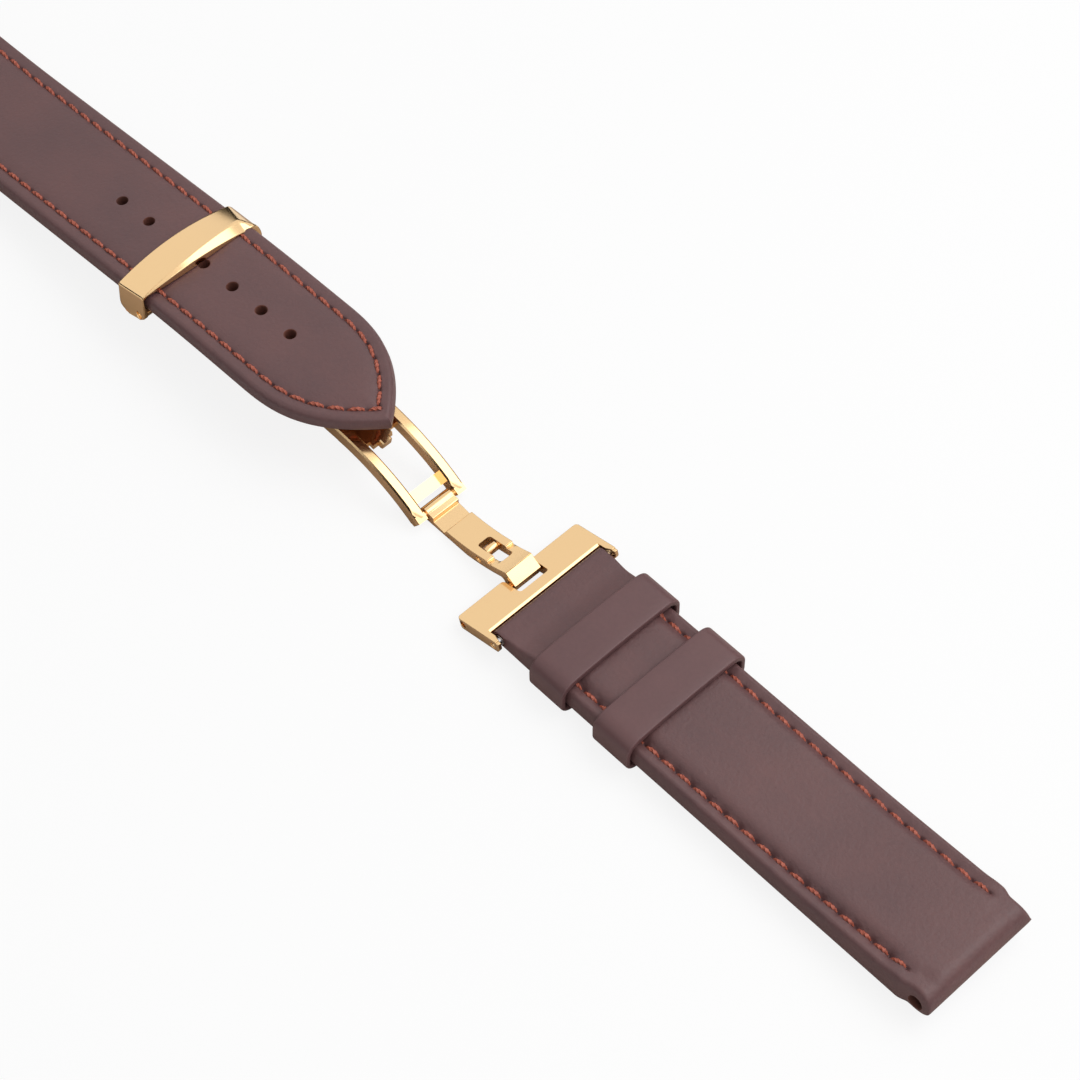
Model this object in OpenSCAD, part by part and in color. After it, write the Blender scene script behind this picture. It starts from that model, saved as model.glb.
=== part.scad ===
// Watch strap in two padded leather halves joined by a folding clasp, shown open.
// X runs along the strap from the pierced half to the short half, Y across it, Z up.
// Heights start at the surface that it lies on. Stations along X are measured from the
// clasp side of the end bracket, and in_place() moves them to the middle of the whole.

/* [Strap] */
// Width of both halves
strap_w = 18; // [16:0.5:20]
// Length of the pierced half, from its lug end to its tip
long_len = 120; // [110:1:130]
// Distance from the clasp's spring bar to the lug end of the short half
short_len = 69.2; // [60:1:80]
// Edge thickness of the pierced half near the clasp
long_t = 2.2; // [2:0.1:2.4]
// Edge thickness of the short half near the clasp
short_t = 3.3; // [3:0.1:3.6]
// Edge thickness at both lug ends
lug_t = 4.1; // [3.6:0.1:4.6]
// Rise of the padded middle over the edges
crown = 0.35; // [0.1:0.05:0.5]
// Thickness of the upper leather
leather_t = 1.0; // [0.8:0.05:1.1]
// Thickness of the lining leather
lining_t = 0.8; // [0.6:0.05:0.9]
// Length of the rounded point at the tip
point_len = 18; // [14:1:20]

/* [Adjustment holes] */
// Number of holes
hole_count = 7; // [5:1:8]
// Distance between neighbouring holes
hole_pitch = 5.6; // [5:0.1:6]
// Diameter of each hole
hole_d = 1.5; // [1.5:0.05:1.8]
// Distance from the tip to the nearest hole
tip_to_hole = 18.9; // [16:0.1:22]
// The hole on the peg, counted from the tip
peg_hole = 5; // [4:1:5]

/* [Lugs] */
// Diameter of the tunnel for the case's spring bar
lug_bore = 1.9; // [1.6:0.1:2.2]

/* [Keepers] */
// Width of the sewn keeper along the strap
fixed_keeper_w = 5.7; // [4:0.1:7]
// Width of the sliding keeper along the strap
free_keeper_w = 5.9; // [4:0.1:7]
// Leather thickness of the keepers
keeper_t = 0.95; // [0.7:0.05:1.0]
// Gap between the two keepers
keeper_gap = 5.1; // [3:0.1:8]

/* [Clasp] */
// Distance between the two pins of the folding blade
blade_len = 15.35; // [14.9:0.05:15.9]
// Width of the folding blade
blade_w = 4.3; // [4:0.1:4.6]
// Width of each rail of the frame
rail_w = 1.45; // [1.2:0.05:1.8]
// Height of each rail of the frame
rail_h = 2.1; // [2:0.1:2.3]
// Outer radius of the rails' curve
rail_r = 25.25; // [24.5:0.25:27]
// Width of the end bracket
bracket_w = 20; // [19:0.5:22]
// Thickness of the end bracket
bracket_t = 1.66; // [1.5:0.02:1.8]
// Rise of the cover's arch over its side edges
arch_rise = 1.5; // [1:0.1:2]
// Length of the cover along the strap
cover_l = 5.3; // [5:0.1:6]
// Height of the cover's underside over its pin, in the middle
cover_room = 3.95; // [3.9:0.05:4.1]
// Diameter of the hinge pins
pin_d = 1.0; // [0.8:0.05:1.1]
// Diameter of the latch pin
latch_d = 0.9; // [0.7:0.05:1]
// Diameter of the peg
peg_d = 1.4; // [1.2:0.05:1.4]

/* [Spring bar] */
// Outer diameter of the tube
bar_d = 1.4; // [1.3:0.05:1.4]
// Diameter of the tips
tip_d = 0.8; // [0.6:0.05:0.8]

/* [Hidden] */
$fn = 64;

LEATHER = "#735456";
LINING = "#6b3a28";
PADDING = "#b9a68f";
GOLD = "#e8c39a";
STEEL = "#b8b8bc";

// Clearances
run_gap = 0.03;   // round a pin that turns in its bore
soft_gap = 0.05;  // between leather pieces, and round the peg
side_gap = 0.15;  // beside a part that turns between two others
keeper_room = 0.2; // between a keeper and the strap in it

// Main stations along X and heights
hinge_x = 0.35;                      // pin between blade and end bracket
hinge_z = 1.3;
frame_hinge_x = hinge_x - blade_len; // pin between frame and blade
frame_hinge_z = 1.0;
bracket_tilt = 16;
bar_u = 5.6;                         // spring bar along the bracket
bar_w = -0.15;                       // and above its middle plane
bar_x = hinge_x + bar_u * cos(bracket_tilt) - bar_w * sin(bracket_tilt);
bar_z = hinge_z + bar_u * sin(bracket_tilt) + bar_w * cos(bracket_tilt);
half_w = strap_w / 2;
tip_x = -22.6;
long_end_x = tip_x - long_len;
short_end_x = bar_x + short_len;
frame_x = -(long_end_x + short_end_x) / 2;

module in_place() {
    translate([frame_x, 0, 0]) children();
}

// A cylinder along Y from y0 to y1 at x, z
module across(x, z, d, y0, y1) {
    translate([x, y1, z]) rotate([90, 0, 0]) cylinder(d = d, h = y1 - y0);
}

// A side outline, drawn in x and z, made y0 to y1 wide
module side(y0, y1) {
    translate([0, y1, 0]) rotate([90, 0, 0]) linear_extrude(y1 - y0) children();
}

function ramp(t) = t < 0 ? 0 : t > 1 ? t - 0.5 : t * t / 2;
function clamp(t) = min(1, max(0, t));
function smooth(t) = clamp(t) * clamp(t) * (3 - 2 * clamp(t));
function span(a, b, n) = [for (i = [0 : n]) a + (b - a) * i / n];
// Share of the full thickness at distance d inside an end rounded with radius r
function nose(d, r) = d >= r ? 1 : sqrt(1 - pow(1 - max(d, 0) / r, 2));
// Stations in a rounded end of radius r, closer together near its edge
function nose_steps(r) = [for (a = [12, 30, 50, 70, 90]) r * (1 - cos(a))];

// Closed skin through rings of points that run from +Y over the top to -Y
module skin(rings) {
    n = len(rings[0]);
    m = len(rings);
    sides = [
        for (i = [0 : m - 2]) for (j = [0 : n - 1])
            let (a = i * n + j, b = i * n + (j + 1) % n)
            each [[a, b + n, b], [a, a + n, b + n]]
    ];
    first = [for (j = [0 : n - 1]) j];
    last = [for (j = [n - 1 : -1 : 0]) (m - 1) * n + j];
    polyhedron([for (r = rings) each r], concat([first, last], sides), convexity = 8);
}

// Outline across the strap at x: half width w, bottom z, edge thickness t, crown c
function padded_ring(x, w, z, t, c) =
    let (
        rb = min(0.32 * t, 0.45 * w),
        rt = min(0.5 * t, 0.6 * w),
        flat = w - rt,
        right = [
            [w - rb, z], [w - 0.29 * rb, z + 0.29 * rb], [w, z + rb],
            for (a = [0, 30, 60]) [flat + rt * cos(a), z + t - rt + rt * sin(a)],
            for (k = [1, 0.66, 0.33]) [flat * k, z + t + c * (1 - k * k)]
        ]
    )
    [
        for (p = right) [x, p[0], p[1]],
        [x, 0, z + t + c],
        for (i = [len(right) - 1 : -1 : 0]) [x, -right[i][0], right[i][1]]
    ];

// Outline of a plain slab with a crowned top
function slab_ring(x, w, z0, z1, c) = [
    [x, w, z0], [x, w, z1],
    for (k = [0.66, 0.33, 0, -0.33, -0.66]) [x, w * k, z1 + c * (1 - k * k)],
    [x, -w, z1], [x, -w, z0]
];

// Pierced half: it lies flat at its lug end, rises to the clasp and levels off to the tip
rise_x = long_end_x + 7.8;
rise_len = 20;
rise = 0.107;
level_x = -62;
level_len = 14;
level_rise = 0.04;
function long_z(x) =
    rise * rise_len * ramp((x - rise_x) / rise_len)
    - (rise - level_rise) * level_len * ramp((x - level_x) / level_len);
function long_edge(x) = long_t + (lug_t - long_t) * smooth((long_end_x + 42 - x) / 38);
function long_half(x) =
    let (s = clamp((x - tip_x + point_len) / point_len)) half_w * (1 - pow(s, 2.57));

edge_w = 1.3;     // leather at each edge, outside the padding
fold_len = 7;     // leather folded round a lug tunnel
tip_close = 2.6;  // solid leather at the tip
tip_round = 0.8;
long_stations = [
    for (d = nose_steps(lug_t / 2)) long_end_x + d,
    each span(long_end_x + 4, tip_x - point_len, 22),
    for (s = [0.15, 0.3, 0.42, 0.53, 0.63, 0.72, 0.8, 0.87, 0.93]) tip_x - point_len * (1 - s),
    tip_x - 0.7, tip_x - 0.35
];
function long_nose(x) = nose(x - long_end_x, lug_t / 2) * nose(tip_x - x + 0.12, tip_round);
function long_outer(x) =
    let (t = long_edge(x), n = long_nose(x))
    padded_ring(x, long_half(x), long_z(x) + t * (1 - n) / 2, t * n, crown * n * clamp((tip_x - x) / 6));

core_x0 = long_end_x + fold_len;
core_x1 = tip_x - tip_close;
core_stations = [
    each span(core_x0, tip_x - point_len, 20),
    for (s = [0.2, 0.38, 0.54, 0.68]) tip_x - point_len * (1 - s),
    core_x1 - 0.4
];
function long_core_w(x) = long_half(x) - edge_w;
function long_core_top(x) = long_z(x) + long_edge(x) - leather_t;
function long_core_crown(x) = crown * clamp((tip_x - x) / 6);

function hole_x(i) = tip_x - tip_to_hole - hole_pitch * (i - 1);
peg_x = hole_x(peg_hole);
function long_slope(x) = atan((long_z(x + 0.5) - long_z(x - 0.5)));

// The adjustment holes, square to the leather, grown by gap all round
module strap_holes(gap) {
    for (i = [1 : hole_count])
        let (x = hole_x(i))
        translate([x, 0, long_z(x)]) rotate([0, -long_slope(x), 0])
            translate([0, 0, -2]) cylinder(d = hole_d + 2 * gap, h = long_t + crown + 4);
}

lug_bar_x = long_end_x + lug_t / 2;
module long_upper_leather() {
    color(LEATHER) in_place() difference() {
        skin([for (x = long_stations) long_outer(x)]);
        skin([for (x = core_stations)
            slab_ring(x, long_core_w(x), long_z(x) - 0.5, long_core_top(x), long_core_crown(x))]);
        across(lug_bar_x, lug_t / 2, lug_bore, -half_w - 1, half_w + 1);
        strap_holes(0);
    }
}

module long_padding() {
    color(PADDING) in_place() difference() {
        skin([for (x = core_stations)
            slab_ring(x, long_core_w(x) - soft_gap, long_z(x) + lining_t + soft_gap,
                long_core_top(x) - soft_gap, long_core_crown(x))]);
        strap_holes(0);
    }
}

module long_lining() {
    color(LINING) in_place() difference() {
        skin([for (x = core_stations)
            slab_ring(x, long_core_w(x) - soft_gap, long_z(x), long_z(x) + lining_t, 0)]);
        strap_holes(0);
    }
}

// Short half: its leather folds round the bar in a thin nose, then swells to full thickness
short_z = 1.25;
fold_r = 1.2;           // outside of the fold round the clasp's bar
fold_swell = 5.2;       // distance over which the fold swells
taper_x = 50;           // where the thickening to the lug end starts
short_core_x0 = bar_x + 5.5;
short_core_x1 = short_end_x - fold_len;
function short_bottom(x) =
    let (s = smooth((x - bar_x) / fold_swell)) (bar_z - fold_r) * (1 - s) + short_z * s;
function short_top(x) =
    let (s = smooth((x - bar_x) / fold_swell))
    (bar_z + fold_r) * (1 - s)
    + (short_z + short_t + (lug_t - short_t) * smooth((x - taper_x) / (short_end_x - taper_x - 3))) * s;
function short_nose(x) = nose(x - bar_x + fold_r, fold_r) * nose(short_end_x - x, lug_t / 2);
function short_half(x) =
    half_w - 0.9 * (1 - nose(x - bar_x + fold_r + 0.3, 1.8));
function short_outer(x) =
    let (z0 = short_bottom(x), t = short_top(x) - z0, n = short_nose(x), s = smooth((x - bar_x) / fold_swell))
    padded_ring(x, short_half(x), z0 + t * (1 - n) / 2, t * n, crown * n * s);
short_stations = [
    for (d = nose_steps(fold_r)) bar_x - fold_r + d,
    each span(bar_x + 0.9, bar_x + 6, 6),
    each span(bar_x + 10, short_end_x - 4, 16),
    for (d = [4, 3, 2, 1, 0]) short_end_x - nose_steps(lug_t / 2)[d]
];
short_core_stations = span(short_core_x0, short_core_x1, 14);
function short_core_w(x) = half_w - edge_w;
short_bar_x = short_end_x - lug_t / 2;

module short_upper_leather() {
    color(LEATHER) in_place() difference() {
        skin([for (x = short_stations) short_outer(x)]);
        skin([for (x = short_core_stations)
            slab_ring(x, short_core_w(x), short_bottom(x) - 0.5, short_top(x) - leather_t, crown)]);
        across(short_bar_x, short_z + lug_t / 2, lug_bore, -half_w - 1, half_w + 1);
        across(bar_x, bar_z, bar_d + 2 * run_gap, -half_w - 1, half_w + 1);
    }
}

module short_padding() {
    color(PADDING) in_place()
        skin([for (x = short_core_stations)
            slab_ring(x, short_core_w(x) - soft_gap, short_bottom(x) + lining_t + soft_gap,
                short_top(x) - leather_t - soft_gap, crown)]);
}

module short_lining() {
    color(LINING) in_place()
        skin([for (x = short_core_stations)
            slab_ring(x, short_core_w(x) - soft_gap, short_bottom(x), short_bottom(x) + lining_t, 0)]);
}

// Keepers: leather loops with rounded corners round the short half
fixed_keeper_x = 11.9;
free_keeper_x = fixed_keeper_x + fixed_keeper_w + keeper_gap;
module rounded_frame_2d(w, z0, z1, r) {
    union() {
        translate([-w, z0 + r]) square([2 * w, z1 - z0 - 2 * r]);
        translate([-w + r, z0]) square([2 * w - 2 * r, z1 - z0]);
        for (y = [-w + r, w - r], z = [z0 + r, z1 - r]) translate([y, z]) circle(r);
    }
}
module keeper(x, w) {
    inner_w = half_w + keeper_room;
    z0 = short_z - keeper_room;
    z1 = short_z + short_t + crown + keeper_room;
    translate([x, 0, 0]) rotate([90, 0, 90]) linear_extrude(w) difference() {
        rounded_frame_2d(inner_w + keeper_t, z0 - keeper_t, z1 + keeper_t, 1.3);
        rounded_frame_2d(inner_w, z0, z1, 0.5);
    }
}
module fixed_keeper() {
    color(LEATHER) in_place() keeper(fixed_keeper_x, fixed_keeper_w);
}
module free_keeper() {
    color(LEATHER) in_place() keeper(free_keeper_x, free_keeper_w);
}

// Frame: two curved rails, a knuckle for the cover, a plate with the peg and a hooked plate
cover_pin_x = -60.6;
knuckle_r = 0.75;
cover_pin_z = long_z(cover_pin_x) - knuckle_r - soft_gap - 0.02;
rail_in = blade_w / 2 + 0.38;
rail_out = rail_in + rail_w;
apex_x = -29.2;
frame_end_r = frame_hinge_z - 0.02;
// Centre of the curve, so that its middle line ends on the hinge pin
curve_mid_r = rail_r - rail_h / 2;
curve_end = asin((frame_hinge_x - apex_x) / curve_mid_r);
apex_cz = frame_hinge_z - curve_mid_r * cos(curve_end);
// The straight part runs from the knuckle to where it touches the curve
knuckle_dx = apex_x - cover_pin_x;
knuckle_dz = cover_pin_z - 0.1 - apex_cz;
knuckle_d = norm([knuckle_dx, knuckle_dz]);
join_a = acos(curve_mid_r / knuckle_d) - atan2(knuckle_dx, knuckle_dz);
straight_len = sqrt(knuckle_d * knuckle_d - curve_mid_r * curve_mid_r);

// Cross section of the rails or plates: x is the height over the rail's bottom, y is along Y
module rail_2d(y0, y1, h0, h1, c) {
    if (c == 0) translate([h0, y0]) square([h1 - h0, y1 - y0]);
    else polygon([
        [h0, y0], [h0, y1], [h1 - c, y1], [h1, y1 - c], [h1, y0 + c], [h1 - c, y0]
    ]);
}
// The section carried along the curve between two angles from the apex, towards the hinge
module along_curve(a0, a1) {
    translate([apex_x, 0, apex_cz]) rotate([90, 0, 0]) rotate([0, 0, 90 - a1])
        rotate_extrude(angle = a1 - a0, $fn = 128)
            translate([rail_r - rail_h, 0]) children();
}
// The section carried along the straight part, from s0 to s1 behind the curve's start
module along_straight(s0, s1) {
    translate([apex_x, 0, apex_cz]) rotate([0, join_a, 0])
        translate([-s1, 0, rail_r - rail_h]) rotate(180, [1, 0, 1]) linear_extrude(s1 - s0) children();
}
bevel = 0.22;
// The straight parts and the ends are this much slimmer, and start inside the curved ones
slimmer = 0.02;
overlap = 0.5;
rail_end = 0.5;     // the rail's top runs on this far past the pin
module rail_pair() {
    for (m = [0, 1]) mirror([0, m, 0]) {
        along_curve(join_a, curve_end) rail_2d(-rail_out, -rail_in, 0, rail_h, bevel);
        along_straight(-overlap, straight_len)
            rail_2d(-rail_out + slimmer, -rail_in - slimmer, slimmer, rail_h - slimmer, bevel);
        side(rail_in + slimmer, rail_out - slimmer) translate([frame_hinge_x, frame_hinge_z])
            circle(frame_end_r);
        side(rail_in + slimmer, rail_out - slimmer) translate([frame_hinge_x, frame_hinge_z])
            rotate(-curve_end) translate([-overlap, 0]) square([overlap + rail_end, rail_h / 2 - slimmer]);
    }
}

plate_t = 0.8;
plate_up = 0.05;
hook_w = 1.5;
tongue_w = 3.2;
plate_x = -25.7;   // where the plate ends beside the tongue
tongue_x = -25.0;  // where the tongue ends beside the hook
function curve_a(x) = asin((x - apex_x) / curve_mid_r);
hook_a = curve_a(-24.3);
bar_a0 = curve_a(-17.8);
bar_a1 = curve_a(-16.35);
plate_back = 9;
module hooked_plate() {
    into = rail_in + 0.2;
    difference() {
        along_curve(join_a, hook_a) rail_2d(-into, into, plate_up, plate_t, 0);
        // Steps back from the tongue and the hook
        for (m = [0, 1]) mirror([0, m, 0]) {
            translate([plate_x, tongue_w / 2, 0]) cube(10);
            translate([tongue_x, hook_w / 2, 0]) cube(10);
        }
    }
    along_curve(hook_a - 1.2, hook_a + 0.5)
        rail_2d(-hook_w / 2 + slimmer, hook_w / 2 - slimmer, 0.2, plate_t + 0.7, 0.15);
    along_straight(-overlap, plate_back)
        rail_2d(-into + slimmer, into - slimmer, plate_up + slimmer, plate_t - slimmer, 0);
    along_curve(bar_a0, bar_a1) rail_2d(-into, into, plate_up, 0.6, 0);
}

peg_plate_t = 1.0;
peg_plate_w = 8;
peg_slope = long_slope(peg_x);
// In the peg's own frame: origin on the leather's underside, x along it, z square to it
module at_peg() {
    translate([peg_x, 0, long_z(peg_x)]) rotate([0, -peg_slope, 0]) children();
}
cover_wall = 0.5;
cover_in = half_w + 0.25;
cover_out = cover_in + cover_wall;
module clasp_frame() {
    color(GOLD) in_place() difference() {
        union() {
            difference() {
                rail_pair();
                // The rails stop in the knuckle
                translate([cover_pin_x - 10, -10, 0]) cube([10, 20, 12]);
            }
            hooked_plate();
            across(cover_pin_x, cover_pin_z, 2 * knuckle_r, -cover_in + side_gap, cover_in - side_gap);
            at_peg() translate([-2.2, -peg_plate_w / 2, -soft_gap - peg_plate_t])
                cube([cover_pin_x - peg_x + 2.2, peg_plate_w, peg_plate_t]);
        }
        across(cover_pin_x, cover_pin_z, pin_d, -half_w - 2, half_w + 2);
        across(frame_hinge_x, frame_hinge_z, pin_d, -rail_out - 1, rail_out + 1);
        at_peg() translate([0, 0, -3]) cylinder(d = peg_d, h = 3);
    }
}

module frame_pin() {
    color(GOLD) in_place() across(frame_hinge_x, frame_hinge_z, pin_d, -rail_out, rail_out);
}

// Peg: pressed into the frame's plate, with a rounded end inside the leather's hole
peg_up = 1.7;
module strap_peg() {
    color(GOLD) in_place() at_peg() {
        translate([0, 0, -soft_gap - peg_plate_t]) cylinder(d = peg_d, h = peg_plate_t + soft_gap + peg_up);
        translate([0, 0, peg_up]) rotate_extrude() intersection() {
            circle(d = peg_d);
            square(peg_d);
        }
    }
}

module cover_pin() {
    color(GOLD) in_place() across(cover_pin_x, cover_pin_z, pin_d, -cover_out + 0.1, cover_out - 0.1);
}

// Cover: an arched bridge with two side walls, in a frame that follows the leather
cover_front = 1.2;
cover_top = 3.52;   // side edge of the top over the pin
cover_drop = 1.0;   // lowest point of the walls under the pin
arch_r = (cover_out * cover_out + arch_rise * arch_rise) / (2 * arch_rise);
room_r = 68;        // curve of the underside, flatter than the top's
shoulder_r = 1.6;
module at_cover() {
    translate([cover_pin_x, 0, cover_pin_z]) rotate([0, -peg_slope, 0]) children();
}
// Outline across the cover, in y and w
module cover_face_2d() {
    difference() {
        intersection() {
            union() {
                translate([-cover_out, -5]) square([2 * cover_out - shoulder_r, 12]);
                translate([0, -5]) square([cover_out, 5 + cover_top - 1.1]);
                translate([cover_out - shoulder_r, cover_top - 1.1]) circle(shoulder_r);
            }
            translate([0, cover_top + arch_rise - arch_r]) circle(arch_r, $fn = 180);
        }
        intersection() {
            translate([-cover_in, -6]) square([2 * cover_in, 13]);
            translate([0, cover_room - room_r]) circle(room_r, $fn = 180);
        }
    }
}
// Outline of the side walls, in u and w
module cover_side_2d() {
    back = cover_front - cover_l;
    union() {
        translate([back, 1.4]) square([cover_l, 6]);
        translate([back + 2.4, -cover_drop]) square([cover_l - 2.4 - 1, 3]);
        translate([back + 2.4, 1.4]) circle(2.4);
        translate([cover_front - 1, 0]) circle(cover_drop);
        translate([cover_front - 1, 0]) square([1, 2]);
    }
}
// The top's arch again, pitched down from a line at u that is turned across the cover
module pitched_arch(u, turn, pitch) {
    translate([u, 0, cover_top + arch_rise]) rotate([0, 0, turn]) rotate([0, pitch, 0])
        translate([0, 0, -arch_r]) rotate([0, 90, 0]) cylinder(r = arch_r, h = 60, center = true, $fn = 180);
}
module cover_bridge() {
    color(GOLD) in_place() at_cover() difference() {
        intersection() {
            translate([-6, 0, 0]) rotate([90, 0, 90]) linear_extrude(10) cover_face_2d();
            side(-cover_out - 1, cover_out + 1) cover_side_2d();
            // A bevel that widens along the front edge, and a smaller one along the back
            pitched_arch(cover_front - 0.82, 6.2, 15);
            pitched_arch(cover_front - cover_l + 0.45, -2.9, -28);
        }
        across(0, 0, pin_d + 2 * run_gap, -cover_out - 1, cover_out + 1);
    }
}

// Blade: a curved plate with a recessed neck, a window for the hook and a rising end
blade_r = 25;
blade_cx = hinge_x - 12.25;
blade_cz = 26.28;
neck_end = frame_hinge_x + 4.0;   // where the main plate starts
ear_step = hinge_x - 3.97;        // where it steps down to the thinner plate
plate_thick = 1.6;
thin_drop = 0.42;
blade_floor = 0.05;
// Curved plate seen from the side: from x0 to x1, its top lowered by drop
module blade_arc_2d(x0, x1, drop) {
    intersection() {
        difference() {
            translate([blade_cx, blade_cz]) circle(blade_r + plate_thick, $fn = 180);
            translate([blade_cx, blade_cz]) circle(blade_r + drop, $fn = 180);
        }
        translate([x0, blade_floor]) square([x1 - x0, 5]);
    }
}
module blade_body(w) {
    // Main plate, and the thinner one past the window
    side(-w, w) blade_arc_2d(neck_end, ear_step, 0);
    side(-w, w) blade_arc_2d(ear_step - 0.4, hinge_x - 0.7, thin_drop);
    // Recessed neck, and the block round the frame pin
    side(-w, w) translate([frame_hinge_x, blade_floor])
        polygon([[0, 0], [4.1, 0], [4.1, 1.25], [3.85, 1.22], [3.5, 0.5], [1.4, 0.8], [0, 0.8]]);
    side(-w, w) translate([frame_hinge_x, frame_hinge_z]) circle(frame_hinge_z - blade_floor);
    side(-w, w) translate([frame_hinge_x, frame_hinge_z])
        polygon([
            [-0.85, 0], [-0.8, 0.45], [-0.55, 0.78], [-0.2, 0.86],
            [1.4, 0.55], [1.5, 0.47], [1.5, -0.4], [0, -0.7]
        ]);
    // Ridge and slanted end down to the bracket pin
    side(-w, w) translate([hinge_x, hinge_z])
        polygon([
            [-1.75, 1.6], [-0.75, 2.28], [1.01, 1.1], [0.98, 0.45],
            [0.7, 0], [-0.7, 0], [-1.1, 0.55], [-1.75, 0.7]
        ]);
    side(-w, w) translate([hinge_x, hinge_z]) circle(0.8);
}
window_w = 2.0;
window_x0 = hinge_x - 7.05;
window_x1 = hinge_x - 2.75;
latch_x = hinge_x - 5.65;
latch_z = 1.3;
module fold_blade() {
    color(GOLD) in_place() difference() {
        blade_body(blade_w / 2);
        across(hinge_x, hinge_z, pin_d + 2 * run_gap, -blade_w, blade_w);
        across(frame_hinge_x, frame_hinge_z, pin_d + 2 * run_gap, -blade_w, blade_w);
        // Window with rounded corners
        translate([0, 0, -1]) linear_extrude(6) union() {
            translate([window_x0 + 0.4, -window_w / 2]) square([window_x1 - window_x0 - 0.8, window_w]);
            translate([window_x0, -window_w / 2 + 0.4]) square([window_x1 - window_x0, window_w - 0.8]);
            for (x = [window_x0 + 0.4, window_x1 - 0.4], y = [-1, 1])
                translate([x, y * (window_w / 2 - 0.4)]) circle(0.4);
        }
        // Small fillets where the ears step down
        across(ear_step, 2.68, 0.44, -blade_w, blade_w);
        across(ear_step + 0.3, 2.56, 0.4, -blade_w, blade_w);
        across(latch_x, latch_z, latch_d, -blade_w, blade_w);
    }
}

module latch_pin() {
    color(GOLD) in_place() {
        across(latch_x, latch_z, latch_d, -blade_w / 2 + 0.15, blade_w / 2 - 0.15);
        // Its thicker middle, which the hook snaps over
        across(latch_x - 0.1, latch_z, latch_d + 0.4, -window_w / 2 + 0.15, window_w / 2 - 0.15);
    }
}

// End bracket: a plate with a notch for the blade and two pointed ears for the spring bar
notch_w = blade_w + 2 * side_gap + 0.1;
notch_u = 2.43;
slot_u = 4.32;
ear_u = 6.75;
edge_u = -0.8;
module bracket_plan_2d() {
    b = bracket_w / 2;
    difference() {
        union() {
            translate([edge_u, -b + 0.5]) square([slot_u - edge_u, 2 * b - 1]);
            translate([edge_u + 0.5, -b]) square([slot_u - edge_u - 0.5, 2 * b]);
            for (y = [-1, 1]) translate([edge_u + 0.5, y * (b - 0.5)]) circle(0.5);
            // Ears: straight outside, hollow curve inside
            for (m = [0, 1]) mirror([0, m]) difference() {
                translate([slot_u - 0.1, b - 1.4]) square([ear_u - slot_u + 0.1, 1.4]);
                translate([slot_u + 2.7, b - 4.25]) circle(3.75);
                translate([slot_u, b - 3]) square([1.6, 2.14]);
            }
        }
        // Notch with flared mouth and rounded inner corners
        translate([edge_u - 1, -notch_w / 2]) square([notch_u - edge_u + 0.6, notch_w]);
        translate([edge_u, -notch_w / 2 + 0.4]) square([notch_u - edge_u, notch_w - 0.8]);
        for (y = [-1, 1]) translate([notch_u - 0.4, y * (notch_w / 2 - 0.4)]) circle(0.4);
        for (m = [0, 1]) mirror([0, m]) difference() {
            translate([edge_u - 0.1, notch_w / 2 - 0.1]) square([0.6, 0.6]);
            translate([edge_u + 0.5, notch_w / 2 + 0.5]) circle(0.5);
        }
    }
}
// Outline of the bracket from the side, in u and w
module bracket_side_2d() {
    t = bracket_t / 2;
    difference() {
        union() {
            translate([edge_u + 0.8, -t]) square([ear_u - edge_u - 1.6, 2 * t]);
            translate([edge_u, -t + 0.8]) square([3, 2 * t - 0.8]);
            translate([edge_u + 0.8, -t + 0.8]) circle(0.8);
            translate([ear_u - 0.8, -t]) square([0.4, 2 * t]);
            translate([ear_u - 1, -t + 0.8]) square([1, 2 * t - 1]);
            translate([ear_u - 0.8, -t + 0.8]) circle(0.8);
        }
        translate([-5, t]) square([20, 5]);
    }
}
module at_bracket() {
    translate([hinge_x, 0, hinge_z]) rotate([0, -bracket_tilt, 0]) children();
}
ear_in = bracket_w / 2 - 0.86;
module end_bracket() {
    t = bracket_t / 2;
    color(GOLD) in_place() difference() {
        at_bracket() difference() {
            intersection() {
                translate([0, 0, -2]) linear_extrude(4) bracket_plan_2d();
                side(-bracket_w / 2 - 1, bracket_w / 2 + 1) bracket_side_2d();
            }
            // Bright bevel along the slot
            translate([slot_u - 0.28, -ear_in, t]) rotate([0, 45, 0]) cube([2, 2 * ear_in, 2]);
        }
        across(hinge_x, hinge_z, pin_d, -bracket_w / 2 - 1, bracket_w / 2 + 1);
        across(bar_x, bar_z, tip_d + 2 * run_gap, -bracket_w / 2 - 1, bracket_w / 2 + 1);
    }
}

module bracket_pin() {
    color(GOLD) in_place() across(hinge_x, hinge_z, pin_d, -bracket_w / 2 + 0.6, bracket_w / 2 - 0.6);
}

// Spring bar: a tube, two tips with wider roots inside it, and a spring between them
tube_end = ear_in - 0.25;
tube_wall = 0.2;
lip = 0.5;              // the tube is closed in round the tips over this length
root_len = 1.6;
root_out = tube_end - lip - 0.02;
tip_out = bracket_w / 2 - 0.2;
root_d = bar_d - 2 * tube_wall - 2 * run_gap;
module spring_bar_tube() {
    color(STEEL) in_place() difference() {
        across(bar_x, bar_z, bar_d, -tube_end, tube_end);
        across(bar_x, bar_z, bar_d - 2 * tube_wall, -tube_end + lip, tube_end - lip);
        across(bar_x, bar_z, tip_d + 2 * run_gap, -tube_end - 1, tube_end + 1);
    }
}
module spring_bar_tip(m) {
    color(STEEL) in_place() mirror([0, m, 0]) {
        across(bar_x, bar_z, root_d, root_out - root_len, root_out);
        across(bar_x, bar_z, tip_d, root_out - 0.2, tip_out);
    }
}
module spring_bar_tip_left() {
    spring_bar_tip(1);
}
module spring_bar_tip_right() {
    spring_bar_tip(0);
}

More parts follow.
